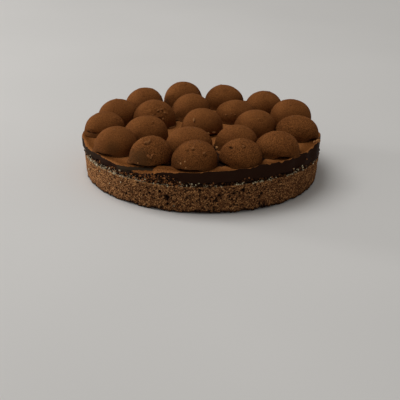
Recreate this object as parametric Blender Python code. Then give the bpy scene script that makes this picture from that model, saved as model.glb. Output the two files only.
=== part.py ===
"""A flourless chocolate cake: a porous sponge disc, a thin crust of crumbs and sugar crystals,
a ganache layer, and 21 piped domes in a ring of 13, a ring of 7 and one in the middle."""

import math
import random

import bmesh
import bpy
from mathutils import Vector

MM = 0.001

# The disc. The side flares a little from the foot to the top edge.
FOOT_RADIUS = 92.9 * MM
SIDE_FLARE = 0.09
SEGMENTS = 120
CONTACT_GAP = 0.3 * MM

# The sponge is low at the left and swells towards the right front.
SPONGE_HEIGHT = 19.5 * MM
SPONGE_SWELL = 3.7 * MM
SWELL_DEG = -60
SWELL_WIDTH_DEG = 42
SPONGE_MIDDLE_HEIGHT = SPONGE_HEIGHT + 0.2 * SPONGE_SWELL
SPONGE_ROUGHNESS = 0.45 * MM
SPONGE_SIDE_LEVELS = (0.15, 0.32, 0.5, 0.68, 0.86)
FOOT_UNDERCUT = (1.7 * MM, 4.5 * MM)
FOOT_RIM_HEIGHT = 0.4 * MM
FOOT_RIM_LIFT = 1.3 * MM

# The crust between sponge and ganache, thick and crumbly at the left front.
CRUST_THICKNESS = 4.2 * MM
CRUST_THICKENING = 2.1 * MM
THICKENING_DEG = -112
THICKENING_WIDTH_DEG = 16
CRUST_RADIUS = FOOT_RADIUS + SIDE_FLARE * SPONGE_HEIGHT - 0.7 * MM
CRUST_ROUGHNESS = 0.35 * MM
CRYSTAL_COUNT = 54
CRYSTAL_RADIUS = 0.85 * MM
CRYSTAL_LEVEL = 1.45 * MM

# The rings of the faces between two layers, as shares of the edge's radius.
INNER_SHARES = (0.5, 0.9)

# The ganache's top leans down to the back left, sags at the left front, and is a little
# lower along the outer ring of domes than in the middle.
TOP_HEIGHT = 32.8 * MM
TOP_LEAN = 2.5 * MM
TOP_LEAN_DEG = -32
TOP_FALL = 0.6 * MM
TOP_SAG = 0.9 * MM
TOP_SAG_DEG = -125
TOP_SAG_WIDTH_DEG = 35
OUTER_RING_RADIUS = 77.0 * MM
TOP_RADIUS = 93.0 * MM
GANACHE_RADIUS = 95.6 * MM
GANACHE_WAVE = 0.7 * MM
# The ganache's side from its foot to its lip: share of its height, inset from its radius.
GANACHE_SIDE = ((0.15, 0.9 * MM), (0.75, 0.3 * MM), (1.0, 0.6 * MM))
LIP_WAVER = 0.35 * MM

# The lip outside the domes rises or droops: direction and half width in degrees, rise in mm.
LIP_SHAPE = (
    (-166, 7, -1.4),
    (-117, 13, -4.0),
    (-60, 34, 1.6),
    (-21, 5, 2.0),
    (18, 26, -3.4),
    (75, 14, 0.9),
    (125, 12, -1.8),
    (184, 7, 1.8),
)

# The piped domes.
DOME_SEGMENTS = 18
DOME_LATITUDES_DEG = (-21, -8, 7, 23, 40, 57, 74)
DOME_WAIST = 3.4 * MM
DOME_LOBE = 0.018
DOME_LEAN = 0.6 * MM

# Each dome as piped: its direction from the centre in degrees, and its distance from the
# centre, its width and its height in millimetres.
OUTER_DOMES = (
    (-94, 77.5, 34.0, 18.0),
    (-68, 77.0, 32.5, 17.0),
    (-42, 77.0, 33.5, 16.0),
    (-9, 76.0, 34.0, 16.5),
    (19, 77.0, 34.5, 19.0),
    (47, 76.5, 32.5, 17.5),
    (76, 76.0, 34.0, 18.0),
    (103, 77.5, 33.0, 20.5),
    (130, 77.5, 33.0, 20.0),
    (157.5, 76.0, 33.5, 18.5),
    (180, 78.5, 31.5, 16.5),
    (213.5, 79.0, 32.5, 18.5),
    (241, 78.0, 32.0, 19.0),
)
INNER_DOMES = (
    (-102.5, 46.5, 36.0, 18.0),
    (-54, 46.0, 32.5, 16.5),
    (-8.5, 42.5, 35.0, 19.5),
    (51, 43.0, 32.5, 16.0),
    (103, 44.5, 33.0, 18.5),
    (153, 44.5, 35.0, 20.0),
    (204, 48.5, 35.0, 19.0),
)
CENTRE_DOME = (0, 0.0, 33.5, 18.5)

# sRGB colours, roughness.
SPONGE_LOOK = ("#6B4528", 0.95)
CRUST_LOOK = ("#4A2B17", 0.9)
GANACHE_LOOK = ("#1E110B", 0.4)
COCOA_LOOK = ("#6E4526", 0.95)


def clear_scene():
    for obj in list(bpy.data.objects):
        bpy.data.objects.remove(obj, do_unlink=True)


def linear(hex_colour):
    """The linear RGBA of an sRGB hex colour."""
    channels = [int(hex_colour[i : i + 2], 16) / 255 for i in (1, 3, 5)]
    return [c / 12.92 if c <= 0.04045 else ((c + 0.055) / 1.055) ** 2.4 for c in channels] + [1.0]


def material(name, look):
    colour, roughness = look
    made = bpy.data.materials.new(name)
    made.use_nodes = True
    shader = made.node_tree.nodes["Principled BSDF"]
    shader.inputs["Base Color"].default_value = linear(colour)
    shader.inputs["Roughness"].default_value = roughness
    shader.inputs["Metallic"].default_value = 0.0
    return made


def bump(angle_deg, centre_deg, width_deg):
    """A bell over an angle: 1 at its centre, falling off over its width, and periodic."""
    away = (angle_deg - centre_deg + 180) % 360 - 180
    return math.exp(-((away / width_deg) ** 2))


def ripple(angle_deg, waves):
    """A closed wave round the cake: a sum of sines, each (cycles, phase in degrees, weight)."""
    return sum(weight * math.sin(math.radians(cycles * angle_deg + phase)) for cycles, phase, weight in waves)


def sponge_edge_height(angle_deg):
    return SPONGE_HEIGHT + SPONGE_SWELL * bump(angle_deg, SWELL_DEG, SWELL_WIDTH_DEG)


def crust_edge_height(angle_deg):
    thick = CRUST_THICKNESS + CRUST_THICKENING * bump(angle_deg, THICKENING_DEG, THICKENING_WIDTH_DEG)
    return sponge_edge_height(angle_deg) + thick


def top_height(x, y):
    """The height of the ganache's top, which changes evenly from the middle outwards."""
    angle_deg = math.degrees(math.atan2(y, x))
    rise = TOP_LEAN * math.cos(math.radians(angle_deg - TOP_LEAN_DEG)) - TOP_FALL
    rise -= TOP_SAG * bump(angle_deg, TOP_SAG_DEG, TOP_SAG_WIDTH_DEG)
    return TOP_HEIGHT + rise * math.hypot(x, y) / OUTER_RING_RADIUS


def top_ring_height(angle_deg, radius):
    turn = math.radians(angle_deg)
    return top_height(radius * math.cos(turn), radius * math.sin(turn))


def lip_height(angle_deg):
    """The ganache's top edge, which rises and droops round the cake, with a fine waver."""
    height = top_ring_height(angle_deg, GANACHE_RADIUS)
    height += sum(rise * MM * bump(angle_deg, centre, width) for centre, width, rise in LIP_SHAPE)
    return height + LIP_WAVER * ripple(angle_deg, ((17, 20, 1.0), (29, 75, 0.6)))


def ring_points(radius_at, height_at):
    """One ring of the disc, its radius and height each a function of the angle in degrees."""
    points = []
    for i in range(SEGMENTS):
        angle_deg = 360 * i / SEGMENTS
        turn = math.radians(angle_deg)
        radius = radius_at(angle_deg)
        points.append(Vector((radius * math.cos(turn), radius * math.sin(turn), height_at(angle_deg))))
    return points


def stacked_mesh(name, rings, bottom, top):
    """A closed mesh through rings of points, from the bottom point up to the top point."""
    mesh = bmesh.new()
    loops = [[mesh.verts.new(point) for point in ring] for ring in rings]
    low = mesh.verts.new(bottom)
    high = mesh.verts.new(top)
    count = len(rings[0])
    for i in range(count):
        after = (i + 1) % count
        mesh.faces.new((low, loops[0][after], loops[0][i]))
        mesh.faces.new((high, loops[-1][i], loops[-1][after]))
        for lower, upper in zip(loops, loops[1:]):
            mesh.faces.new((lower[i], lower[after], upper[after]))
            mesh.faces.new((lower[i], upper[after], upper[i]))
    data = bpy.data.meshes.new(name)
    mesh.to_mesh(data)
    mesh.free()
    data.shade_smooth()
    return data


def add_object(name, data, look):
    obj = bpy.data.objects.new(name, data)
    bpy.context.scene.collection.objects.link(obj)
    data.materials.append(look)
    return obj


def face_rings(edge_radius, edge_height, inner_height):
    """The rings of a layer's top or bottom face inside its edge, from the middle outwards."""
    rings = []
    for share in INNER_SHARES:
        rings.append(
            ring_points(
                lambda angle: share * edge_radius(angle),
                lambda angle: inner_height + (edge_height(angle) - inner_height) * share**4,
            )
        )
    return rings


def lifted(rings, step):
    return [[point + Vector((0, 0, step)) for point in ring] for ring in rings]


def segment_values(seed, low, high):
    """A function of the angle that gives each of the disc's segments a seeded value of its own."""
    draw = random.Random(seed)
    values = [draw.uniform(low, high) for _ in range(SEGMENTS)]
    return lambda angle_deg: values[round(angle_deg * SEGMENTS / 360) % SEGMENTS]


def rough_radius(radius, roughness, seed):
    """A ring's radius on a crumbly side: the plain radius with seeded crags."""
    crag = segment_values(seed, -roughness, roughness)
    return lambda angle_deg: radius + crag(angle_deg)


def side_ring(share):
    """One ring of the sponge's crumbly side, at a share of its height."""
    radius = rough_radius(FOOT_RADIUS + SIDE_FLARE * share * SPONGE_HEIGHT, SPONGE_ROUGHNESS, f"side {share}")
    return ring_points(radius, lambda a: share * sponge_edge_height(a))


def make_sponge(look):
    """The sponge disc: crumbly side, undercut foot, and a top that follows the swell."""
    undercut = segment_values("foot", *FOOT_UNDERCUT)
    lift = segment_values("foot rim", -0.6, 1.0)
    rim = rough_radius(FOOT_RADIUS, SPONGE_ROUGHNESS, "rim")
    edge = rough_radius(FOOT_RADIUS + SIDE_FLARE * SPONGE_HEIGHT, 0.5 * SPONGE_ROUGHNESS, "sponge edge")
    rings = [
        ring_points(lambda a: FOOT_RADIUS - undercut(a), lambda a: 0.0),
        ring_points(rim, lambda a: FOOT_RIM_HEIGHT + FOOT_RIM_LIFT * max(0.0, lift(a))),
    ]
    rings += [side_ring(share) for share in SPONGE_SIDE_LEVELS]
    rings.append(ring_points(edge, sponge_edge_height))
    rings += reversed(face_rings(edge, sponge_edge_height, SPONGE_MIDDLE_HEIGHT))
    top = Vector((0, 0, SPONGE_MIDDLE_HEIGHT))
    data = stacked_mesh("sponge_base", rings, Vector((0, 0, 0)), top)
    return add_object("sponge_base", data, look)


def crystal_mesh(name, draw):
    """One sugar crystal: a small uneven lump of 20 faces."""
    mesh = bmesh.new()
    bmesh.ops.create_icosphere(mesh, subdivisions=1, radius=CRYSTAL_RADIUS)
    for vert in mesh.verts:
        vert.co *= draw.uniform(0.75, 1.2)
    data = bpy.data.meshes.new(name)
    mesh.to_mesh(data)
    mesh.free()
    return data


def make_crystals():
    """Crystals spread round the crust's side, each half sunk in it, in a collection of their own."""
    draw = random.Random("crystals")
    group = bpy.data.collections.new("crystals")
    bpy.context.scene.collection.children.link(group)
    for i in range(CRYSTAL_COUNT):
        angle_deg = 360 * (i + draw.uniform(-0.3, 0.3)) / CRYSTAL_COUNT
        turn = math.radians(angle_deg)
        height = sponge_edge_height(angle_deg) + CRYSTAL_LEVEL
        radius = CRUST_RADIUS + draw.uniform(-0.1, 0.25) * MM
        crystal = bpy.data.objects.new(f"crystal_{i:02d}", crystal_mesh(f"crystal_{i:02d}", draw))
        crystal.location = (radius * math.cos(turn), radius * math.sin(turn), height)
        crystal.rotation_euler = (draw.uniform(0, 3), draw.uniform(0, 3), turn)
        crystal.scale = (1.0, 1.0, draw.uniform(0.6, 0.9))
        group.objects.link(crystal)
    return group


def apply_union(obj, group):
    """Joins the group's solids to the object and removes them."""
    join = obj.modifiers.new("crystals", "BOOLEAN")
    join.operation = "UNION"
    join.operand_type = "COLLECTION"
    join.collection = group
    join.solver = "EXACT"
    bpy.context.view_layer.update()
    graph = bpy.context.evaluated_depsgraph_get()
    joined = bpy.data.meshes.new_from_object(obj.evaluated_get(graph))
    obj.modifiers.clear()
    obj.data = joined
    for crystal in list(group.objects):
        bpy.data.objects.remove(crystal, do_unlink=True)
    bpy.data.collections.remove(group)


def crust_top_radius():
    return rough_radius(CRUST_RADIUS, CRUST_ROUGHNESS, "crust top")


def make_crust(look):
    """The crust of crumbs and crystals: a thin disc whose side stands a little back."""
    low_edge = rough_radius(CRUST_RADIUS, CRUST_ROUGHNESS, "crust foot")
    middle = rough_radius(CRUST_RADIUS, CRUST_ROUGHNESS, "crust middle")
    top_edge = crust_top_radius()
    top_height_inside = SPONGE_MIDDLE_HEIGHT + CRUST_THICKNESS
    rings = lifted(face_rings(low_edge, sponge_edge_height, SPONGE_MIDDLE_HEIGHT), CONTACT_GAP)
    rings.append(ring_points(low_edge, lambda a: sponge_edge_height(a) + CONTACT_GAP))
    rings.append(ring_points(middle, lambda a: (sponge_edge_height(a) + crust_edge_height(a)) / 2))
    rings.append(ring_points(top_edge, crust_edge_height))
    rings += reversed(face_rings(top_edge, crust_edge_height, top_height_inside))
    bottom = Vector((0, 0, SPONGE_MIDDLE_HEIGHT + CONTACT_GAP))
    data = stacked_mesh("crumb_crust", rings, bottom, Vector((0, 0, top_height_inside)))
    crust = add_object("crumb_crust", data, look)
    apply_union(crust, make_crystals())
    return crust


def ganache_radius(angle_deg):
    """The ganache's waving outer edge."""
    return GANACHE_RADIUS + GANACHE_WAVE * ripple(angle_deg, ((13, 0, 0.6), (23, 140, 0.5), (31, 60, 0.4)))


def ganache_side_ring(share, inset):
    """One ring of the ganache's side, at a share of the way from its foot to its lip."""

    def height(angle_deg):
        low = crust_edge_height(angle_deg) + CONTACT_GAP
        return low + share * (lip_height(angle_deg) - low)

    return ring_points(lambda a: ganache_radius(a) - inset, height)


def make_ganache(look):
    """The ganache: a smooth side, a waving lip, and the gently leaning top under the domes."""
    foot_edge = crust_top_radius()
    foot_inside = SPONGE_MIDDLE_HEIGHT + CRUST_THICKNESS
    rings = lifted(face_rings(foot_edge, crust_edge_height, foot_inside), CONTACT_GAP)
    rings.append(ring_points(foot_edge, lambda a: crust_edge_height(a) + CONTACT_GAP))
    rings += [ganache_side_ring(share, inset) for share, inset in GANACHE_SIDE]
    rings.append(ring_points(lambda a: TOP_RADIUS, lambda a: top_ring_height(a, TOP_RADIUS)))
    bottom = Vector((0, 0, foot_inside + CONTACT_GAP))
    data = stacked_mesh("ganache_layer", rings, bottom, Vector((0, 0, TOP_HEIGHT)))
    return add_object("ganache_layer", data, look)


def dome_place(dome):
    turn_deg, out_mm, width_mm, height_mm = dome
    turn = math.radians(turn_deg)
    centre = Vector((out_mm * MM * math.cos(turn), out_mm * MM * math.sin(turn)))
    return centre, width_mm * MM / 2, height_mm * MM


def pressed(point, centre, radius, neighbours):
    """The point moved back to its dome's side of each plane between it and a neighbour."""
    for other_centre, other_radius, _ in neighbours:
        apart = other_centre - centre
        share = radius / (radius + other_radius)
        limit = share * apart.length - CONTACT_GAP / 2
        direction = apart.normalized()
        reach = point.x * direction.x + point.y * direction.y
        if reach > limit:
            point.x -= (reach - limit) * direction.x
            point.y -= (reach - limit) * direction.y
    return point


def make_dome(name, place, neighbours, look):
    """One piped dome: an undercut foot that follows the ganache, a full waist and a round top."""
    centre, radius, height = place
    draw = random.Random(name)
    phases = [draw.uniform(0, 360) for _ in range(3)]
    lean = Vector((draw.uniform(-1, 1), draw.uniform(-1, 1))) * DOME_LEAN
    foot_drop = math.sin(math.radians(-DOME_LATITUDES_DEG[0]))
    foot_height = top_height(centre.x, centre.y)
    rings = []
    for latitude_deg in DOME_LATITUDES_DEG:
        rise = math.sin(math.radians(latitude_deg))
        reach = radius * math.cos(math.radians(latitude_deg))
        below = DOME_WAIST / foot_drop
        level = DOME_WAIST + rise * (below if rise < 0 else height - DOME_WAIST)
        ring = []
        for i in range(DOME_SEGMENTS):
            angle_deg = 360 * i / DOME_SEGMENTS
            turn = math.radians(angle_deg)
            lobe = ripple(angle_deg, ((2, phases[0], 1.0), (3, phases[1], 0.7), (5, phases[2], 0.4)))
            out = reach * (1 + DOME_LOBE * lobe)
            shift = lean * (level / height) ** 2
            point = Vector((out * math.cos(turn) + shift.x, out * math.sin(turn) + shift.y, level))
            point = pressed(point, centre, radius, neighbours)
            point.z += top_height(centre.x + point.x, centre.y + point.y) - foot_height
            ring.append(point)
        rings.append(ring)
    data = stacked_mesh(name, rings, Vector((0, 0, 0)), Vector((lean.x, lean.y, height)))
    dome = add_object(name, data, look)
    dome.location = (centre.x, centre.y, foot_height + CONTACT_GAP)
    return dome


def make_domes(look):
    """All the domes: two rings and the middle one, each pressed by its neighbours."""
    named = [(f"dome_outer_{i:02d}", dome) for i, dome in enumerate(OUTER_DOMES, 1)]
    named += [(f"dome_inner_{i}", dome) for i, dome in enumerate(INNER_DOMES, 1)]
    named.append(("dome_centre", CENTRE_DOME))
    places = [dome_place(dome) for _, dome in named]
    for (name, _), place in zip(named, places):
        neighbours = [other for other in places if other is not place]
        make_dome(name, place, neighbours, look)


def main():
    clear_scene()
    make_sponge(material("sponge", SPONGE_LOOK))
    make_crust(material("crust", CRUST_LOOK))
    make_ganache(material("ganache", GANACHE_LOOK))
    make_domes(material("cocoa", COCOA_LOOK))


main()
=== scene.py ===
"""A flourless chocolate cake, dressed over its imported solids: a crumbly sponge disc, a crust of
crumbs and sugar crystals, a dark ganache layer with a cocoa-dusted top, and 21 piped domes
under cocoa. Lengths are in metres. Directions are in degrees from +X, and -90 faces the camera."""

import functools
import itertools
import random

import bmesh
import bpy
import numpy as np
from bpy.props import FloatProperty, FloatVectorProperty, IntProperty, PointerProperty
from mathutils import Matrix, Vector


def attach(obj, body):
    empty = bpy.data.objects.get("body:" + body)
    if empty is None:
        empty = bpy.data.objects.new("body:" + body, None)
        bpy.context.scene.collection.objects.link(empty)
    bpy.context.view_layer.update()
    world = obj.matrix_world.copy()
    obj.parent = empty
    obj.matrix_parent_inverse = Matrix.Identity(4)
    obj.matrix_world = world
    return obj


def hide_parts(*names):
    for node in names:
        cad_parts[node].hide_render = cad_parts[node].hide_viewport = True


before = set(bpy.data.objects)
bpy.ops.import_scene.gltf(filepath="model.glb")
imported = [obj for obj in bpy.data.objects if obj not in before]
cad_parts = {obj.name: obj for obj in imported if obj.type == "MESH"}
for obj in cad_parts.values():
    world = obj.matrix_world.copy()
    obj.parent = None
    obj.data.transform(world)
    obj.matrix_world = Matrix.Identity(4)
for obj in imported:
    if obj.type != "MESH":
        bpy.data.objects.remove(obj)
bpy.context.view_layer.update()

bl_info = {
    "name": "Flourless chocolate cake",
    "version": (1, 0, 0),
    "blender": (4, 5, 0),
    "location": "3D View > Sidebar > Cake",
    "description": "Builds the sponge, crust, ganache and piped domes of a flourless chocolate cake",
    "category": "Add Mesh",
}

MM = 0.001
BODY = "root"

# The disc's shape, as its solids have it. A place is a direction and a half width in degrees.
SIDE_FLARE = 0.09
CONTACT_GAP = 0.3 * MM
CRUST_INSET = 0.7 * MM
SWELL_PLACE = (-60, 42)
SWELL_IN_THE_MIDDLE = 0.2
LEFT_RISE, LEFT_RISE_PLACE = 1.3 * MM, (-130, 30)
THICKENING_PLACE = (-112, 16)
TOP_HEIGHT = 32.8 * MM
TOP_LEAN, TOP_LEAN_DEG = 2.5 * MM, -32
TOP_FALL = 0.6 * MM
TOP_SAG, TOP_SAG_PLACE = 0.9 * MM, (-125, 35)
OUTER_RING_RADIUS = 77.0 * MM
TOP_RADIUS = 93.0 * MM

# The lip's rises and falls: direction, half width in degrees, millimetres. Then its small waver.
LIP_SHAPE = (
    (-166, 7, -1.4), (-117, 13, -4.0), (-60, 34, 1.6), (-21, 5, 2.0), (-14.5, 1.6, 1.2), (18, 26, -3.4),
    (75, 14, 0.9), (125, 12, -1.8), (184, 7, 1.8),
)
LIP_WAVER, LIP_WAVES = 0.35 * MM, ((17, 20, 1.0), (29, 75, 0.6))

# The domes' foot, as a latitude below the waist, the waist's height, and how uneven and how
# tilted they may be. Then each dome: direction from the centre in degrees, distance from the
# centre, width and height in millimetres.
DOME_FOOT_DEG = 21
DOME_WAIST = 3.4 * MM
DOME_LOBE = 0.018
DOME_LEAN = 0.6 * MM
DOMES = {
    "outer_01": (-94, 77.5, 34.0, 18.0),
    "outer_02": (-68, 77.0, 32.5, 17.0),
    "outer_03": (-42, 77.0, 33.5, 16.0),
    "outer_04": (-9, 76.0, 34.0, 16.5),
    "outer_05": (19, 77.0, 34.5, 19.0),
    "outer_06": (47, 76.5, 32.5, 17.5),
    "outer_07": (76, 76.0, 34.0, 18.0),
    "outer_08": (103, 77.5, 33.0, 20.5),
    "outer_09": (130, 77.5, 33.0, 20.0),
    "outer_10": (157.5, 76.0, 33.5, 18.5),
    "outer_11": (180, 78.5, 31.5, 16.5),
    "outer_12": (213.5, 79.0, 32.5, 18.5),
    "outer_13": (241, 78.0, 32.0, 19.0),
    "inner_1": (-102.5, 46.5, 36.0, 18.0),
    "inner_2": (-54, 46.0, 32.5, 16.5),
    "inner_3": (-8.5, 42.5, 35.0, 19.5),
    "inner_4": (51, 43.0, 32.5, 16.0),
    "inner_5": (103, 44.5, 33.0, 18.5),
    "inner_6": (153, 44.5, 35.0, 20.0),
    "inner_7": (204, 48.5, 35.0, 19.0),
    "centre": (0, 0.0, 33.5, 18.5),
}

# Marks on the domes. Each is its direction round the dome, its distance from the dome's axis
# as a share of the radius, its half length round the dome, its half height up the dome and how
# far it stands out, the last three in millimetres.
DOME_MARKS = {
    "outer_01": (
        (-119, 0.58, 1.3, 0.9, 0.6), (-119, 0.66, 1.4, 0.8, -1.1), (-97, 0.54, 1.1, 0.8, 0.5),
        (-97, 0.62, 1.2, 0.8, -0.9), (-54, 0.76, 1.6, 0.9, 0.6), (-54, 0.85, 1.6, 0.8, -0.9),
    ),
    "outer_02": (
        (-142, 0.66, 2.6, 0.8, -1.7), (-76, 0.6, 0.8, 1.6, -1.0),
        (-92, 0.66, 1.6, 1.2, 0.5), (-31, 0.95, 1.1, 1.1, 0.9),
    ),
    "outer_04": ((-122, 0.73, 2.4, 0.8, -0.33), (-100, 0.8, 3, 0.8, 0.26)),
    "outer_07": ((-120, 0.74, 0.9, 0.8, 0.39),),
    "outer_08": ((-66, 0.39, 1, 0.8, -0.52), (-117, 0.68, 0.9, 0.8, -0.45)),
    "outer_09": ((-90, 0.7, 1, 0.8, -0.59), (-60, 0.45, 0.8, 0.8, -0.33)),
    "outer_11": (
        (-142, 1.0, 3.0, 1.0, -1.4), (-118, 1.0, 3.6, 0.9, -1.0),
        (-130, 0.97, 3.0, 0.8, 0.6), (-5, 0.83, 1.1, 0.8, -0.78),
    ),
    "outer_13": ((-113, 0.57, 2.0, 0.8, -0.8), (-88, 0.985, 2.4, 0.8, -0.7)),
    "inner_3": ((-78, 0.66, 1.6, 0.8, 0.45), (-72, 0.75, 2.4, 0.8, -0.33)),
    "inner_4": ((-170, 0.6, 2.4, 0.8, 0.72), (-160, 0.5, 1.6, 0.8, -0.45)),
    "inner_6": ((-45, 0.94, 0.9, 3.4, 1.17), (-57, 0.9, 0.8, 3, -0.65), (-118, 0.67, 1.2, 0.8, -0.52)),
    "inner_7": ((-53, 0.54, 1, 0.8, 0.65), (-60, 0.62, 1.4, 0.8, -0.45)),
}

# How grainy the dust is on the grainiest domes, and on the others.
DUST_GRAIN = {
    "outer_01": 0.75, "outer_02": 0.95, "outer_03": 0.85, "outer_04": 0.85, "outer_13": 0.88,
    "inner_1": 0.5, "inner_2": 0.55, "inner_7": 0.5,
}
SMOOTH_DUST = 0.42

# Crumbly places on the domes: direction, share of the radius, reach and height in millimetres.
ROUGH_PATCHES = {
    "inner_6": ((-65, 0.78, 8.5, 1.2),), "inner_1": ((-20, 0.85, 8.0, 0.55),),
    "outer_02": ((-100, 0.6, 13.0, 0.3),), "outer_03": ((-90, 0.6, 14.0, 0.42),),
    "outer_04": ((-95, 0.65, 14.0, 0.38),), "outer_13": ((-50, 0.7, 8.0, 0.25),),
    "inner_2": ((-80, 0.7, 12.0, 0.2),),
}

# Scraps of chocolate on the domes: dome, direction, share of the radius, then half length,
# half height and half thickness in millimetres, how far the length is turned upwards and how
# pale it is. The paleness is partly painted light, so that scraps that sit in shade read as lit.
SCRAPS = (
    ("outer_13", -113, 0.49, 2.1, 0.9, 1.1, 4, 0.15), ("outer_13", -98, 0.40, 0.8, 1.3, 1.0, 15, 0.2),
    ("outer_13", -94, 0.93, 1.6, 0.9, 1.3, -42, 0.0), ("outer_13", -84, 0.92, 1.7, 0.9, 1.3, 48, 0.0),
    ("outer_13", -88, 0.95, 0.9, 0.9, 0.9, 0, 0.2), ("outer_13", -124, 1.0, 0.5, 0.7, 0.6, 10, 0.4),
    ("centre", -120, 0.79, 0.8, 1.8, 1.1, 20, 0.45), ("centre", -95, 1.0, 1.9, 0.8, 0.9, 5, 0.4),
    ("centre", -74, 1.0, 1.3, 1.0, 0.9, 0, 0.6), ("centre", -57, 1.0, 2.0, 0.7, 0.8, -10, 0.5),
    ("inner_7", -53, 0.53, 0.8, 0.8, 0.9, 0, 0.08), ("outer_01", -125, 0.985, 0.7, 0.9, 0.7, 30, 0.75),
    ("outer_01", -114, 0.955, 0.6, 0.8, 0.6, 0, 0.75), ("outer_01", -133, 0.98, 0.5, 0.6, 0.5, 0, 0.2),
    ("outer_01", -97, 0.54, 1.2, 0.8, 0.6, 10, 0.2), ("outer_01", -58, 0.77, 1.4, 0.6, 0.6, 20, 0.2),
    ("outer_02", -80, 0.55, 1.3, 0.7, 0.6, -25, 0.2), ("inner_4", -92, 0.93, 0.7, 0.55, 0.6, 0, 0.2),
    ("inner_4", -120, 0.95, 0.8, 0.55, 0.6, 0, 0.2), ("inner_4", -104, 0.9, 0.5, 0.5, 0.5, 0, 0.2),
    ("inner_6", -52, 0.84, 1.2, 1.5, 0.9, 35, 0.12), ("inner_6", -63, 0.95, 1.0, 1.2, 0.8, -20, 0.12),
    ("inner_6", -74, 0.72, 1.1, 0.8, 0.7, 10, 0.12), ("inner_6", -60, 0.7, 0.9, 0.9, 0.7, 0, 0.12),
    ("inner_6", -92, 0.86, 0.8, 0.6, 0.6, 0, 0.12), ("outer_07", -120, 0.74, 0.7, 0.6, 0.6, 0, 0.2),
    ("outer_05", -100, 0.5, 0.6, 0.5, 0.5, 0, 0.1), ("inner_3", -80, 0.66, 0.9, 0.6, 0.6, 0, 0.2),
    ("outer_01", -110, 1.0, 0.6, 0.5, 0.5, 0, 0.6), ("inner_1", 5, 1.2, 2.3, 1.9, 1.6, 20, 0.85),
    ("outer_04", -46, 1.27, 2.2, 1.8, 1.0, 25, 0.6), ("outer_04", -53, 1.24, 1.2, 1.4, 0.9, -10, 0.7),
    ("outer_04", -39, 1.27, 1.4, 1.6, 0.8, 10, 0.5), ("inner_6", -35, 1.06, 4.5, 0.8, 0.7, -4, 0.25),
)

# Places on the sponge's side: few pores, crisp small pores, even grains, a pale line on the top edge.
# Then the direction of a painted light: the sponge's tone is lighter facing it and darker opposite.
FEW_PORES = (-165, 32)
CRISP_PORES = (-98, 40)
EVEN_GRAINS = (-168, 35)
PALE_TOP_EDGE = (-130, 30)
PAINTED_LIGHT_SIDE_DEG = -165

# The larger pores in the sponge's side: direction, height, half size and depth in millimetres.
SPONGE_PORES = (
    (-108.9, 15.7, 0.9, 2.2), (-105.6, 12.0, 1.4, 2.8), (-90.5, 19.6, 0.9, 2.2), (-81.9, 15.4, 1.0, 1.8),
    (-83.0, 12.9, 0.8, 1.6), (-70.7, 18.8, 1.1, 2.6), (-114.0, 13.0, 0.8, 1.6), (-136.6, 3.3, 0.8, 1.4),
    (-126.9, 8.0, 0.8, 1.6), (-61.5, 13.6, 0.8, 1.8), (-62.2, 11.6, 0.9, 1.8), (-61.8, 4.6, 1.3, 1.2),
    (-59.6, 3.2, 1.1, 1.0), (-105.4, 6.3, 0.9, 1.6), (-96.2, 18.7, 0.7, 1.4), (-76.9, 14.5, 0.7, 1.4),
    (-75.8, 11.8, 0.7, 1.4), (-90.3, 8.3, 0.6, 1.2),
)

# Where the sponge's foot is eaten away: direction, half width in degrees, lift in millimetres.
FOOT_BITES = (
    (-136, 2.5, 0.8), (-124.5, 2.2, 1.1), (-111, 2.4, 1.8), (-94, 3.0, 1.0), (-83, 2.6, 0.9),
    (-70, 3.2, 1.2), (-59, 2.5, 1.2), (-44, 3.0, 0.8), (-20, 3.0, 0.8), (35, 3.0, 1.1), (88, 2.5, 0.9),
    (130, 3.0, 1.2), (171, 2.6, 1.0),
)

# How far the ganache hangs down over the crust: direction and millimetres.
HANG = (
    (-176, 2.8), (-161, 1.2), (-156, 0.5), (-151, 0.3), (-145, 0.3), (-137, 0.5), (-131, 0.4), (-102, 0.4),
    (-98, 1.2), (-60, 1.3), (-46, 1.8), (-38, 0.6), (-30, 2.0), (-20, 3.3), (-6, 3.0), (12, 1.6), (45, 0.9),
    (85, 1.4), (125, 0.7), (155, 1.6),
)

# The heights, in millimetres, that the loose crumbs reach by direction.
CRUMB_REACH = (
    (-170, 21.5), (-161, 22.6), (-156, 24.6), (-151, 25.2), (-145, 25.5), (-137, 26.1), (-134, 26),
    (-130, 26.6), (-126, 27), (-121, 26.8), (-116, 27.9), (-112, 29.0), (-107, 30.0), (-104, 29.2),
    (-101, 27.4), (-98, 25.8), (-95, 25.3), (-60, 26.4), (-40, 26.5), (-20, 22.5), (10, 23.5), (60, 24.0),
    (120, 24.5), (160, 25.0),
)

# The strip of bare ganache where the lip droops: direction, then its lower and upper height in millimetres.
BARE_STRIP = (
    (-131, 20.0, 29.1), (-126.8, 20.0, 29.6), (-124.2, 20.0, 30.1), (-123.2, 27.9, 30.3),
    (-120.2, 28.9, 30.9), (-116.6, 29.8, 31.5), (-112.6, 30.6, 31.9),
)

# Spots of painted shade on the top, where the cocoa is left off so that the dark chocolate shows:
# direction, distance from the centre, half length outwards and half width in millimetres.
SHADE_SPOTS = (
    (-78.3, 60.0, 10.0, 2.4), (-108.5, 64.0, 7.0, 1.8),
)

# Where a dome's foot is undercut and leaves a dark gap, partly its own shadow and partly the bare
# foot painted near-black as shade: from and to which direction round it.
UNDERCUTS = {
    "outer_01": (-135, -76), "outer_02": (-165, -125), "outer_03": (-92, -60), "outer_04": (-56, -34),
    "outer_07": (40, 80), "outer_09": (95, 150), "outer_12": (-155, -98), "outer_13": (-152, -42),
    "centre": (-104, -44),
}

# Where a dome's foot runs out softly: from and to which direction round it.
FOOT_SPREADS = {
    "outer_11": (110, 215), "outer_12": (110, 200), "outer_13": (130, 200), "inner_1": (120, 230),
    "inner_2": (140, 235), "inner_5": (-170, -60), "centre": (150, 225), "outer_03": (-60, 20),
}

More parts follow.
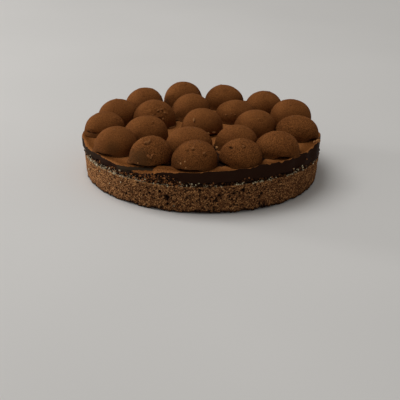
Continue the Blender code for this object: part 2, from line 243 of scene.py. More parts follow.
# Where the cocoa lies thin: dome, direction, share of the radius, reach in mm and how thin.
THIN_DUST = {
    "outer_13": ((-118, 0.98, 8.5, 0.65), (-150, 0.98, 6.0, 0.5)),
    "outer_12": ((-95, 0.98, 6.0, 0.4),),
    "outer_01": ((-140, 0.98, 5.0, 0.3),),
}

# Small crumbs stuck to the ganache's side: direction, height and half size in millimetres.
STUCK_CRUMBS = (
    (-81.0, 32.1, 0.55), (-79.7, 32.0, 0.5), (-79.9, 31.0, 0.4), (-70.5, 27.7, 0.6), (-68.5, 28.0, 0.55),
    (-61.6, 28.1, 0.75), (-43.6, 27.4, 0.55), (-38.5, 27.8, 0.5), (-34.0, 30.6, 0.7), (-32.8, 30.1, 0.55),
    (-26.9, 30.1, 0.65), (-27.6, 28.0, 0.5), (60.0, 29.5, 0.6), (108.0, 30.5, 0.55), (164.0, 29.0, 0.6),
)

# Runs of sugar along the sponge's top edge: direction, half width in degrees, crystals, how
# far they stray up and down in millimetres, and their size against the others'.
SUGAR_RUNS = (
    (-157, 3, 20, 1.0, 1.75), (-149, 2.4, 16, 0.6, 1.7), (-143, 2, 13, 0.5, 1.6), (-135, 2.4, 15, 0.6, 1.5),
    (-128, 3, 20, 0.4, 1.45), (-119, 2, 13, 0.3, 1.4), (-146, 18, 52, 0.45, 0.85),
    (-118, 11, 40, 0.3, 0.85), (-158, 8, 34, 2.2, 1.2), (-145, 10, 36, 1.8, 1.1), (-128, 12, 56, 2.0, 1.0),
    (-102, 7, 28, 1.2, 1.0), (-95, 4, 13, 1.3, 1.0), (-86, 3, 10, 1.2, 1.0), (-82, 1.5, 4, 0.6, 1.0),
    (-71, 4, 12, 1.0, 1.0), (-65, 1.6, 9, 0.6, 1.0), (-59, 3, 12, 0.5, 1.0), (-46, 1.6, 7, 0.5, 1.0),
    (-43, 1.4, 8, 0.6, 1.0), (-37, 5, 18, 1.4, 1.0), (-14, 9, 8, 0.6, 1.0), (12, 9, 26, 0.6, 1.0),
    (38, 11, 44, 0.6, 1.0), (64, 8, 20, 0.6, 1.0), (90, 12, 46, 0.6, 1.0), (118, 9, 24, 0.6, 1.0),
    (146, 12, 48, 0.6, 1.0), (180, 11, 44, 0.6, 1.0),
)

# The largest crystals: direction, height and half size in millimetres.
LARGE_CRYSTALS = (
    (-162.1, 8.8, 0.6), (-145.6, 16.8, 0.55), (-137.8, 10.9, 0.6), (-129.8, 15.8, 0.6), (-118.0, 8.2, 0.55),
    (-116.5, 3.6, 0.6), (-102.0, 5.2, 0.6), (-159.7, 20.9, 1.0), (-154.6, 20.6, 0.9), (-150.8, 22.3, 0.8),
    (-136.1, 24.4, 0.8), (-129.5, 25.8, 0.75), (-133.0, 23.6, 0.6), (-99.5, 25.2, 0.6), (-94.1, 24.3, 0.7),
    (-85.6, 23.3, 0.7), (-73.3, 23.5, 0.6), (-71.4, 23.6, 0.6), (-64.7, 23.2, 0.6), (-62.7, 23.2, 0.6),
    (-58.0, 24.2, 0.55), (-57.2, 25.3, 0.5), (-54.2, 24.3, 0.55), (-43.6, 27.4, 0.55), (-39.7, 24.9, 0.7),
    (-37.4, 27.2, 0.55), (-35.1, 24.3, 0.6),
)

# Loose crumbs in the crust's side: direction, half width in degrees, number, and how light the
# lightest of them are: partly painted light and shade, lighter at the left front where the light
# falls, and dark under the ganache's overhang at the right front.
CRUMB_RUNS = (
    (-149, 14, 150, 0.75), (-125, 12, 270, 1.0), (-108, 9, 360, 1.0), (-88, 12, 70, 0.45),
    (-66, 12, 70, 0.4), (-44, 12, 60, 0.4), (-16, 18, 90, 0.4), (20, 20, 160, 0.6), (60, 20, 160, 0.6),
    (100, 20, 170, 0.6), (140, 20, 170, 0.6), (178, 20, 150, 0.6),
)

# The camera: place, the direction of its right, up and forward, and its lens and film in mm.
CAMERA_PLACE = (-0.0015, -0.8139, 0.3121)
CAMERA_RIGHT = (0.99971438, 0.0080864, 0.0224892)
CAMERA_UP = (-0.02386876, 0.38502067, 0.92259924)
CAMERA_FORWARD = (0.0011983, 0.92287252, -0.38510371)
CAMERA_LENS, CAMERA_FILM = 95.66, 36.0


def linear(hex_colour):
    """The linear and opaque RGBA of an sRGB hex colour."""
    channels = [int(hex_colour[i : i + 2], 16) / 255 for i in (1, 3, 5)]
    return [*(c / 12.92 if c <= 0.04045 else ((c + 0.055) / 1.055) ** 2.4 for c in channels), 1.0]


def shade_property(name, description, hex_colour):
    kind = {"size": 4, "subtype": "COLOR", "min": 0.0, "max": 1.0}
    return FloatVectorProperty(name=name, description=description, default=linear(hex_colour), **kind)


def length_property(name, description, millimetres):
    return FloatProperty(name=name, description=description, default=millimetres * MM, unit="LENGTH")


def share_property(name, description):
    return FloatProperty(name=name, description=description, default=1.0, min=0.0)


def power_property(name, description, watts):
    return FloatProperty(name=name, description=description, default=watts, unit="POWER")


class SpongeSettings(bpy.types.PropertyGroup):
    foot_radius: length_property("Foot radius", "Radius of the sponge where it stands", 92.9)
    height: length_property("Height", "Height of the sponge's side at its lowest", 19.5)
    swell: length_property("Swell", "How much higher the side is at the right front", 3.7)
    crag: length_property("Crags", "Unevenness of the cut side over a few millimetres", 0.4)
    grain: length_property("Grain", "Size of the crumb's grains", 0.95)
    grain_depth: length_property("Grain depth", "Depth of the gaps between grains", 0.45)
    light: shade_property("Light crumb", "Colour of the palest grains", "#DCA066")
    middle: shade_property("Crumb", "Colour of most of the crumb", "#7C4E2D")
    dark: shade_property("Dark crumb", "Colour of the darkest grains and of the pores", "#20100A")


class CrustSettings(bpy.types.PropertyGroup):
    thickness: length_property("Thickness", "Thickness of the crust where it is thinnest", 4.2)
    thickening: length_property("Thickening", "How much thicker it is at the left front", 2.1)
    sugar_share: share_property("Sugar", "Share of the sugar crystals shown")
    crumb_share: share_property("Crumbs", "Share of the loose crumbs shown")
    dark: shade_property("Baked crumb", "Colour of the crust's dark crumb", "#2A160C")
    light: shade_property("Light crumbs", "Colour of the lightest loose crumbs", "#AE7040")
    sugar: shade_property("Sugar", "Colour of the sugar crystals", "#EBDCB4")


class GanacheSettings(bpy.types.PropertyGroup):
    radius: length_property("Radius", "Radius of the ganache layer", 95.6)
    wave: length_property("Wave", "Depth of the waves in its outer edge", 0.7)
    chocolate: shade_property("Chocolate", "Colour of the bare ganache", "#2D1B13")
    # The greyish film of this colour is partly real and partly a painted reflection of the bright
    # surroundings.
    bloom_and_sheen: shade_property("Bloom", "Colour of the greyish film on the bare ganache", "#372C20")


class DomeSettings(bpy.types.PropertyGroup):
    columns: IntProperty(name="Columns", description="Points round each dome", default=140, min=12)
    rows: IntProperty(name="Rows", description="Points up each dome", default=56, min=6)
    lump_height: length_property("Lumps", "Unevenness of a dome over several millimetres", 0.16)
    grain_height: length_property("Grain", "Height of the cocoa's fine grain", 0.07)
    cocoa: shade_property("Cocoa", "Colour of the cocoa dust", "#7F4E28")
    deep_cocoa: shade_property("Deep cocoa", "Colour of the cocoa in its hollows", "#764724")
    scrap: shade_property("Pale scraps", "Colour of the palest scraps on the domes", "#C08C5A")


class StageSettings(bpy.types.PropertyGroup):
    floor: shade_property("Floor", "Colour of the plain floor", "#DEDCD9")
    key_power: power_property("Key light", "Power of the soft light at the left", 21.0)
    side_power: power_property("Side light", "Power of the low light at the left", 8.0)
    sky: FloatProperty(name="Sky", description="Brightness of the light from all round", default=0.29)


# Numbers and noise

AXIS_PRIMES = (73856093, 19349663, 83492791)
SEED_PRIME = 2971215073
MIXING_STEPS = ((15, 739982445), (12, 695872825))
LOW_BITS = 0xFFFFFFFF


def lattice_value(cell, seed):
    """A seeded value from 0 to 1 at each lattice point: its three whole numbers times a prime
    each, mixed by exclusive or, then shifted and multiplied within 32 bits."""
    x, y, z = np.moveaxis(cell * AXIS_PRIMES, -1, 0)
    mixed = (x ^ y ^ z ^ (seed * SEED_PRIME)) & LOW_BITS
    for shift, factor in MIXING_STEPS:
        mixed = ((mixed ^ (mixed >> shift)) * factor) & LOW_BITS
    return (mixed ^ (mixed >> 15)) / LOW_BITS


def lattice_place(points, size_mm):
    """Points in cell sizes, and the cell that each lies in."""
    place = points / (size_mm * MM)
    return place, np.floor(place).astype(np.int64)


def soft_noise(points, size_mm, seed):
    """Smooth noise from -1 to 1 over cells of a size: the lattice values at a cell's corners,
    each weighted by the product of 3t^2 - 2t^3 along the three axes."""
    place, cell = lattice_place(points, size_mm)
    part = place - cell
    part = part * part * (3 - 2 * part)
    total = np.zeros(points.shape[:-1])
    for corner in itertools.product((0, 1), repeat=3):
        weight = np.prod(np.where(np.array(corner) == 1, part, 1 - part), axis=-1)
        total += weight * lattice_value(cell + corner, seed)
    return 2 * total - 1


def grains(points, size_mm, seed):
    """Grains packed at random: each lattice cell holds one centre. Gives the distance to the
    nearest centre and to the second nearest, in grain sizes, and the nearest grain's own value."""
    place, cell = lattice_place(points, size_mm)
    nearest = np.full(points.shape[:-1], 9.0)
    second = nearest.copy()
    own = np.zeros(points.shape[:-1])
    for step in itertools.product((-1, 0, 1), repeat=3):
        other = cell + step
        jitter = np.stack([lattice_value(other, seed + axis) for axis in range(3)], axis=-1)
        distance = np.linalg.norm(place - other - jitter, axis=-1)
        closer = distance < nearest
        second = np.where(closer, nearest, np.minimum(second, distance))
        own = np.where(closer, lattice_value(other, seed + 3), own)
        nearest = np.minimum(nearest, distance)
    return nearest, second, own


def holes(points, size_mm, seed, share, width):
    """Bells of half width `width` grain sizes at the centres of this share of the grains."""
    nearest, _, own = grains(points, size_mm, seed)
    return np.where(own < share, np.exp(-((nearest / width) ** 2)), 0.0)


def bump(angle_deg, centre_deg, width_deg):
    """A bell over an angle, exp(-(away / width)^2), periodic round the circle."""
    away = (angle_deg - centre_deg + 180) % 360 - 180
    return np.exp(-((away / width_deg) ** 2))


def bumps(angle_deg, table):
    """A sum of bells, each (direction, width in degrees, millimetres), in metres."""
    return sum(rise * MM * bump(angle_deg, centre, width) for centre, width, rise in table)


def ripple(angle_deg, waves):
    """A closed wave: a sum of sines, each (cycles, phase in degrees, weight)."""
    return sum(weight * np.sin(np.radians(cycles * angle_deg + phase)) for cycles, phase, weight in waves)


def smooth_step(value, low, high):
    """From 0 at low to 1 at high, as 3t^2 - 2t^3."""
    part = np.clip((value - low) / (high - low), 0, 1)
    return part * part * (3 - 2 * part)


def between(angle_deg, start_deg, end_deg, edge_deg):
    """1 between two directions and 0 outside them, with soft edges."""
    middle = (start_deg + end_deg) / 2
    away = np.abs((angle_deg - middle + 180) % 360 - 180)
    half = (end_deg - start_deg) / 2
    return smooth_step(away, half + edge_deg, half - edge_deg)


def round_points(radius, angle_deg, height=0.0):
    """Points at a radius, a direction and a height: (r cos a, r sin a, z)."""
    turn = np.radians(angle_deg)
    return np.stack(np.broadcast_arrays(radius * np.cos(turn), radius * np.sin(turn), height), axis=-1)


def along(table, angle_deg, column=1):
    """A table's millimetres at a direction, straight between its rows, in metres."""
    rows = np.array(table)
    return np.interp(angle_deg, rows[:, 0], rows[:, column] * MM, period=360)


def full_circle(count):
    return np.linspace(0, 360, count, endpoint=False)


# The cake's own heights


def left_rise(angle_deg):
    return LEFT_RISE * bump(angle_deg, *LEFT_RISE_PLACE)


def sponge_edge_height(angle_deg):
    """The sponge's top edge, higher by a bell at the right front and a lower one at the left."""
    sponge = bpy.context.scene.cake_sponge
    return sponge.height + sponge.swell * bump(angle_deg, *SWELL_PLACE) + left_rise(angle_deg)


def sponge_middle_height():
    sponge = bpy.context.scene.cake_sponge
    return sponge.height + SWELL_IN_THE_MIDDLE * sponge.swell


def crust_edge_height(angle_deg):
    """The crust's top edge: its thickness above the sponge's, thicker by a bell at the left
    front, and without the sponge's rise there."""
    crust = bpy.context.scene.cake_crust
    thick = crust.thickness + crust.thickening * bump(angle_deg, *THICKENING_PLACE)
    return sponge_edge_height(angle_deg) - left_rise(angle_deg) + thick


def above_crust(angle_deg, height):
    """From 0 under the crust's top edge to 1 above it."""
    return smooth_step(height - crust_edge_height(angle_deg), -1.5 * MM, 0.5 * MM)


def sponge_radius(height):
    """The side's radius at a height: it flares evenly from the foot."""
    return bpy.context.scene.cake_sponge.foot_radius + SIDE_FLARE * height


def crust_radius():
    return sponge_radius(bpy.context.scene.cake_sponge.height) - CRUST_INSET


def top_height(points):
    """The ganache's top: it changes evenly from the middle outwards, by a lean and a sag."""
    angle_deg = np.degrees(np.arctan2(points[..., 1], points[..., 0]))
    rise = TOP_LEAN * np.cos(np.radians(angle_deg - TOP_LEAN_DEG)) - TOP_FALL
    rise = rise - TOP_SAG * bump(angle_deg, *TOP_SAG_PLACE)
    return TOP_HEIGHT + rise * np.hypot(points[..., 0], points[..., 1]) / OUTER_RING_RADIUS


def lip_height(angle_deg):
    """The ganache's outer edge: the top's height, raised and lowered by a bell at each place."""
    height = top_height(round_points(bpy.context.scene.cake_ganache.radius, angle_deg))
    return height + bumps(angle_deg, LIP_SHAPE) + LIP_WAVER * ripple(angle_deg, LIP_WAVES)


# Meshes


def closed_form(rings, bottom, top):
    """The points and triangles of a closed form through rings of points, from the bottom point
    up to the top point. Every ring has the same number of points, anticlockwise from above."""
    rows, columns = rings.shape[:2]
    points = np.concatenate([rings.reshape(-1, 3), [bottom, top]])
    row, column = np.meshgrid(np.arange(rows - 1), np.arange(columns), indexing="ij")
    here = row * columns + column
    after = row * columns + (column + 1) % columns
    right = np.stack([here, after, after + columns], -1)
    left = np.stack([here, after + columns, here + columns], -1)
    ring = np.arange(columns)
    turned = (ring + 1) % columns
    low = np.full(columns, rows * columns)
    last = (rows - 1) * columns
    under = np.stack([low, turned, ring], -1)
    over = np.stack([low + 1, last + ring, last + turned], -1)
    return points, np.concatenate([part.reshape(-1, 3) for part in (right, left, under, over)])


def face_rings(edge, shares, middle_height):
    """Rings inside an edge ring, at shares of its radius: the height goes from the middle's to
    the edge's with the fourth power of the share."""
    share = np.array(shares)[:, None]
    flat = share[..., None] * edge[None, :, :2]
    height = middle_height + (edge[None, :, 2] - middle_height) * share**4
    return np.concatenate([flat, height[..., None]], axis=-1)


def cut_corners(path, times):
    """Rounds a path: each pass puts two points on every stretch, a quarter in from its ends."""
    for _ in range(times):
        start, end = path[:-1], path[1:]
        inner = np.stack([0.75 * start + 0.25 * end, 0.25 * start + 0.75 * end], axis=1)
        path = np.concatenate([path[:1], inner.reshape(-1, *path.shape[1:]), path[-1:]])
    return path


def add_object(name, data):
    made = bpy.data.objects.new(name, data)
    bpy.context.scene.collection.objects.link(made)
    return made


def add_piece(name, form, look, nodes=(), smooth=True, values=None):
    """A finished piece: its points and triangles as a mesh in place, its object at the origin,
    riding on the cake. A value for each point is kept as an attribute, 0 past the values' end."""
    points, faces = form
    mesh = bpy.data.meshes.new(name)
    mesh.vertices.add(len(points))
    mesh.vertices.foreach_set("co", np.asarray(points, np.float32).ravel())
    mesh.loops.add(faces.size)
    mesh.loops.foreach_set("vertex_index", faces.astype(np.int32).ravel())
    mesh.polygons.add(len(faces))
    mesh.polygons.foreach_set("loop_start", np.arange(0, faces.size, 3, dtype=np.int32))
    mesh.polygons.foreach_set("use_smooth", np.full(len(faces), smooth))
    mesh.update(calc_edges=True)
    for attribute, numbers in (values or {}).items():
        padded = np.zeros(len(points), np.float32)
        padded[: numbers.size] = numbers.ravel()
        mesh.attributes.new(attribute, "FLOAT", "POINT").data.foreach_set("value", padded)
    mesh.materials.append(look)
    piece = add_object(name, mesh)
    if nodes:
        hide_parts(*nodes)
    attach(piece, BODY)


def ball_shape(divisions):
    """The points and triangles of a unit ball, which is squeezed and roughened into lumps."""
    work = bmesh.new()
    bmesh.ops.create_icosphere(work, subdivisions=divisions, radius=1.0)
    points = np.array([vert.co for vert in work.verts])
    work.verts.index_update()
    faces = np.array([[vert.index for vert in face.verts] for face in work.faces])
    work.free()
    return points, faces


def random_frames(draw, count):
    """Rotation matrices drawn evenly, each from a unit quaternion of four normal numbers."""
    numbers = draw.normal(size=(4, count))
    w, x, y, z = numbers / np.linalg.norm(numbers, axis=0)
    rows = (
        (1 - 2 * (y * y + z * z), 2 * (x * y - z * w), 2 * (x * z + y * w)),
        (2 * (x * y + z * w), 1 - 2 * (x * x + z * z), 2 * (y * z - x * w)),
        (2 * (x * z - y * w), 2 * (y * z + x * w), 1 - 2 * (x * x + y * y)),
    )
    return np.stack([np.stack(row, -1) for row in rows], -2)


def lumps(draw, centres, sizes, frames, divisions, roughness):
    """Many small lumps as one mesh: the ball's points, each pushed in or out by a random share,
    squeezed to the lump's three sizes, turned by its frame and set at its centre. Gives the
    points and triangles, and the number of points in one lump."""
    ball, faces = ball_shape(divisions)
    push = 1 + roughness * draw.uniform(-1, 1, (len(centres), len(ball), 1))
    shaped = ball * push * sizes[:, None, :]
    points = np.einsum("nij,nvj->nvi", frames, shaped) + centres[:, None, :]
    shifted = faces[None] + (np.arange(len(centres)) * len(ball))[:, None, None]
    return (points.reshape(-1, 3), shifted.reshape(-1, 3)), len(ball)


# Materials

SHADER = "Principled BSDF"
THIN_COCOA = "#4A321C"
BARE_CHOCOLATE_AND_SHADE = "#140A06"
HOLE_SHADE = "#0A0503"
DARK_SUGAR = "#6A5236"
SKY = "#F4F2EE"
# What the cocoa's colour is multiplied by where it is darkened, on steep dome faces as sparse dust and
# painted shade and on the top's outer rim as painted shade, and on the flat top, where it is lightened
# as a painted light that lifts the shade between the domes.
SPARSE_AND_SHADED_TINT = (0.5, 0.46, 0.4, 1.0)
FLAT_TOP_LIGHT = (1.55, 1.65, 1.75, 1.0)
# The settings of a mix of two colours, and of one that multiplies them. Sockets go by number: a
# mix has its share at 0, two numbers at 2 and 3 and two colours at 6 and 7. A map range has its
# value at 0, the range that it comes from at 1 and 2, and the one that it goes to at 3 and 4.
COLOUR = {"output": 2, "data_type": "RGBA"}
PRODUCT = {**COLOUR, "blend_type": "MULTIPLY"}


def set_inputs(node, inputs):
    """Links each of these inputs to an output, or sets it to a value."""
    for socket, value in inputs.items():
        if isinstance(value, bpy.types.NodeSocket):
            node.id_data.links.new(value, node.inputs[socket])
        else:
            node.inputs[socket].default_value = value


def add_node(tree, kind, inputs, output=0, **settings):
    """Adds a shader node with its settings and inputs to a node tree, and gives one output."""
    made = tree.nodes.new(f"ShaderNode{kind}")
    for name, value in settings.items():
        setattr(made, name, value)
    set_inputs(made, inputs)
    return made.outputs[output]


def new_material(name, roughness, specular):
    """A material with the plain shader, a call that adds a node to it, and its Object
    coordinates."""
    look = bpy.data.materials.new(name)
    look.use_nodes = True
    set_inputs(look.node_tree.nodes[SHADER], {"Roughness": roughness, "Specular IOR Level": specular})
    node = functools.partial(add_node, look.node_tree)
    return look, node, node("TexCoord", {}, "Object")


def finish_material(look, colour, height, relief_mm, **inputs):
    """Gives the shader its colour and the relief of a height, so many millimetres deep."""
    relief = add_node(look.node_tree, "Bump", {"Height": height, "Distance": relief_mm * MM, "Strength": 1.0})
    set_inputs(look.node_tree.nodes[SHADER], {"Base Color": colour, "Normal": relief, **inputs})
    return look


def cycles_per_metre(size_mm):
    """A noise node's scale for a pattern of that size, on coordinates in metres."""
    return 1 / (size_mm * MM)


def cocoa_pattern(node, place, domes):
    """Cocoa dust's colour and its grain: two browns in patches about 10 mm wide, a speckle
    drawn 0.65 mm wide, far coarser than the powder, so that it shows, stronger where the grain
    attribute is, and darker where the dust is sparse and where shade is painted on steep faces
    and on the top's outer rim."""
    coarse, scant_and_shade = (node("Attribute", {}, "Fac", attribute_name=key) for key in ("grain", "scant_and_shade"))
    patches = node("TexNoise", {"Vector": place, "Scale": cycles_per_metre(10.0), "Detail": 3.0})
    fine = {"Vector": place, "Scale": cycles_per_metre(0.65), "Detail": 1.0, "Roughness": 0.7}
    speckle = node("Mix", {0: coarse, 2: 0.5, 3: node("TexNoise", fine)})
    patch = node("MapRange", {0: patches, 1: 0.35, 2: 0.65})
    soft = node("Mix", {0: patch, 6: domes.deep_cocoa, 7: domes.cocoa}, **COLOUR)
    grain = node("MapRange", {0: speckle, 1: 0.32, 2: 0.68, 3: 0.25, 4: 1.72})
    colour = node("Mix", {0: 1.0, 6: soft, 7: grain}, **PRODUCT)
    return node("Mix", {0: scant_and_shade, 6: colour, 7: SPARSE_AND_SHADED_TINT}, **PRODUCT), speckle


def cocoa_dust(domes):
    """Cocoa powder sifted over set chocolate: dull and without gloss, in two warm browns, darker
    on steep faces, partly as thinner dust and partly as painted shade, greyish where it lies thin,
    and bare chocolate where a dome's foot is sheltered and in its dents, painted near-black as shade."""
    look, node, place = new_material("cocoa_dust", roughness=0.95, specular=0.03)
    colour, speckle = cocoa_pattern(node, place, domes)
    thin, bare = (node("Attribute", {}, "Fac", attribute_name=key) for key in ("thin", "bare"))
    dusted = node("Mix", {0: thin, 6: colour, 7: linear(THIN_COCOA)}, **COLOUR)
    # Near-black where bare, darker than the chocolate's own colour: partly painted shade.
    mixed = node("Mix", {0: bare, 6: dusted, 7: linear(BARE_CHOCOLATE_AND_SHADE)}, **COLOUR)
    return finish_material(look, mixed, speckle, relief_mm=0.9)


def chocolate_sponge(sponge):
    """Cut chocolate sponge: dull, each grain its own brown, painted dark as shade where it falls back into
    a pore, between its grains and along its foot, with cells 0.65 mm wide and a finer speckle within the
    grains."""
    look, node, place = new_material("chocolate_sponge", roughness=0.95, specular=0.1)
    own, hollow_shade = (node("Attribute", {}, "Fac", attribute_name=key) for key in ("tone", "hollow_shade"))
    fine = {"Vector": place, "Scale": cycles_per_metre(0.55), "Detail": 1.0, "Roughness": 0.75}
    speckle = node("TexNoise", fine)
    cells = node("TexVoronoi", {"Vector": place, "Scale": cycles_per_metre(0.65)}, "Color")
    mixed = node("Mix", {0: 0.6, 2: own, 3: cells})
    tone = node("Math", {0: mixed, 1: speckle}, operation="ADD")
    pale = node("MapRange", {0: tone, 1: 1.05, 2: 1.26})
    lit = node("Mix", {0: pale, 6: sponge.middle, 7: sponge.light}, **COLOUR)
    deep = node("MapRange", {0: tone, 1: 0.65, 2: 0.93})
    crumb = node("Mix", {0: deep, 6: sponge.dark, 7: lit}, **COLOUR)
    # Painted shade: the pores, the gaps between grains and the foot go towards the dark crumb.
    colour = node("Mix", {0: hollow_shade, 6: crumb, 7: sponge.dark}, **COLOUR)
    return finish_material(look, colour, speckle, relief_mm=0.5)


def baked_crumb(crust):
    """The crust's dark baked crumb, dull, lighter on its crags, and painted nearly black as shade
    in its holes and in the gaps between its grains.
    """
    look, node, place = new_material("baked_crumb", roughness=0.9, specular=0.15)
    hollow_shade = node("Attribute", {}, "Fac", attribute_name="hollow_shade")
    speckle = node("TexNoise", {"Vector": place, "Scale": cycles_per_metre(0.9), "Detail": 2.0})
    crag = node("MapRange", {0: speckle, 1: 0.5, 2: 0.8})
    crumb = node("Mix", {0: crag, 6: crust.dark, 7: crust.light}, **COLOUR)
    # Painted shade: the holes and the gaps between grains go nearly black.
    colour = node("Mix", {0: hollow_shade, 6: crumb, 7: linear(HOLE_SHADE)}, **COLOUR)
    return finish_material(look, colour, speckle, relief_mm=0.5)


def toned_material(name, dark, light, roughness, specular):
    """A dull or satin surface whose lumps each have their own tone between two colours."""
    look, node, place = new_material(name, roughness, specular)
    tone = node("Attribute", {}, "Fac", attribute_name="tone")
    speckle = node("TexNoise", {"Vector": place, "Scale": cycles_per_metre(0.6)})
    colour = node("Mix", {0: tone, 6: dark, 7: light}, **COLOUR)
    return finish_material(look, colour, speckle, relief_mm=0.2)


def dusted_ganache(ganache, domes):
    """Set ganache: near-black chocolate, nearly without gloss, with a greyish film in places, partly a
    painted reflection, and dull cocoa dust, with a ragged edge, where the dust attribute says that it
    lies, lighter on the flat top than on the domes as a painted light that lifts the shade between them,
    and darker on the top's outer rim as painted shade."""
    look, node, place = new_material("dusted_ganache", roughness=0.7, specular=0.01)
    film, dust = (node("Attribute", {}, "Fac", attribute_name=key) for key in ("film", "dust"))
    sifted, speckle = cocoa_pattern(node, place, domes)
    # Painted light: the ganache's cocoa is lightened, lifting the shade between the domes.
    cocoa = node("Mix", {0: 1.0, 6: sifted, 7: FLAT_TOP_LIGHT}, **PRODUCT)
    clouds = node("TexNoise", {"Vector": place, "Scale": cycles_per_metre(6.0), "Detail": 3.0})
    cloud = node("MapRange", {0: clouds, 1: 0.45, 2: 0.8, 3: 0.0, 4: 0.15})
    # The greyish film is partly a painted reflection.
    filmed = node("Math", {0: cloud, 1: film}, operation="ADD", use_clamp=True)
    bare = node("Mix", {0: filmed, 6: ganache.chocolate, 7: ganache.bloom_and_sheen}, **COLOUR)
    ragged = node("MapRange", {0: speckle, 1: 0.3, 2: 0.7, 3: -0.25, 4: 0.25})
    added = node("Math", {0: dust, 1: ragged}, operation="ADD")
    cover = node("MapRange", {0: added, 1: 0.4, 2: 0.6})
    colour = node("Mix", {0: cover, 6: bare, 7: cocoa}, **COLOUR)
    dull = node("MapRange", {0: cover, 3: 0.6, 4: 0.95})
    depth = node("Math", {0: cover, 1: speckle}, operation="MULTIPLY")
    return finish_material(look, colour, depth, relief_mm=0.5, Roughness=dull)


def matt_paint(floor_colour):
    """A floor in pale matt paint, with the faintest mottling, 300 mm wide."""
    look, node, place = new_material("matt_paint", roughness=0.8, specular=0.3)
    clouds = node("TexNoise", {"Vector": place, "Scale": cycles_per_metre(300.0)})
    shade = node("MapRange", {0: clouds, 1: 0.3, 2: 0.7, 3: 0.97, 4: 1.03})
    colour = node("Mix", {0: 1.0, 6: floor_colour, 7: shade}, **PRODUCT)
    set_inputs(look.node_tree.nodes[SHADER], {"Base Color": colour})
    return look


# The sponge

SPONGE_COLUMNS = 1560
SPONGE_ROWS = 56
# Its open, small and tiny holes: the size of the grains that they sit in, in millimetres, the
# noise's seed, the share of the grains that have one, and its half width in grain sizes.
SPONGE_HOLES = ((3.6, 41, 0.3, 0.2), (2.2, 51, 0.5, 0.25), (1.2, 57, 0.42, 0.27))


def pore_depth(points):
    """The named pores: a bell each, its depth times exp(-(distance / half size)^2)."""
    depth = np.zeros(points.shape[:-1])
    for angle_deg, height_mm, half_mm, deep_mm in SPONGE_PORES:
        height = height_mm * MM
        centre = round_points(sponge_radius(height), angle_deg, height)
        away = np.linalg.norm(points - centre, axis=-1) / (half_mm * MM)
        depth += deep_mm * MM * np.exp(-away * away)
    return depth


def sponge_side(sponge):
    """The cut side over the direction and the share of its height: the flared radius, plus
    crags, plus a round back for each grain, less the gaps between grains, less the pores.
    Gives the points, each one's tone, painted lighter on the side that faces a painted light,
    and how much painted shade darkens it in its pores, between its grains and along its foot."""
    angle_deg = full_circle(SPONGE_COLUMNS)[None, :]
    share = np.linspace(0, 1, SPONGE_ROWS)[:, None]
    ring = round_points(sponge.foot_radius, angle_deg)
    nicks = 1.5 * np.maximum(0, soft_noise(ring, 3.0, 11)) + 1.2 * np.maximum(0, soft_noise(ring, 1.5, 16))
    foot = 0.3 * MM + 0.9 * bumps(angle_deg, FOOT_BITES) + 1.15 * nicks * MM
    edge = sponge_edge_height(angle_deg) + 0.25 * MM * soft_noise(ring, 2.2, 12)
    height = foot + share * (edge - foot)
    smooth = round_points(sponge_radius(height), angle_deg, height)
    crag = sponge.crag * (soft_noise(smooth, 6.0, 21) + 0.6 * soft_noise(smooth, 3.0, 22))
    nearest, second, own = grains(smooth, sponge.grain / MM, 31)
    gap = np.exp(-(((second - nearest) / 0.16) ** 2))
    back = 0.5 * sponge.grain_depth * (1 - nearest**2)
    close = 1 - 0.55 * bump(angle_deg, *FEW_PORES)
    open_hole, small_hole, tiny_hole = (close * holes(smooth, *row) for row in SPONGE_HOLES)
    pores = pore_depth(smooth)
    inward = sponge.grain_depth * gap + pores + MM * (1.3 * open_hole + 0.7 * small_hole + 0.35 * tiny_hole)
    radius = sponge_radius(height) + crag + back - inward * smooth_step(share, 1.0, 0.93)
    # Painted shade: darker along the foot, in the pores, in the gaps between grains and in the holes.
    low_edge = 0.07 + 0.07 * np.maximum(0, soft_noise(ring, 2.0, 17))
    shaded = 0.9 * smooth_step(share / low_edge, 1.0, 0.0) + 0.8 * pores / MM + 0.36 * close * gap
    crisp = 1 + 2.2 * bump(angle_deg, *CRISP_PORES)
    hollow_shade = np.clip(shaded + 1.1 * open_hole + crisp * (0.9 * small_hole + 0.6 * tiny_hole), 0, 1)
    # A paler line along the top edge, which also takes the painted shade off it.
    pale_edge = np.clip(0.9 * bump(angle_deg, *PALE_TOP_EDGE) + 0.4 * soft_noise(ring, 9.0, 14) - 0.1, 0, 0.8)
    rim = pale_edge * smooth_step(share, 0.95, 0.985)
    even = 1 - 0.55 * bump(angle_deg, *EVEN_GRAINS)
    # Painted light: the tone is raised on the side facing the light's direction and lowered opposite.
    own = 0.5 + even * (own - 0.5) + 0.12 * np.cos(np.radians(angle_deg - PAINTED_LIGHT_SIDE_DEG))
    return round_points(radius, angle_deg, height), own + rim, hollow_shade * (1 - rim)


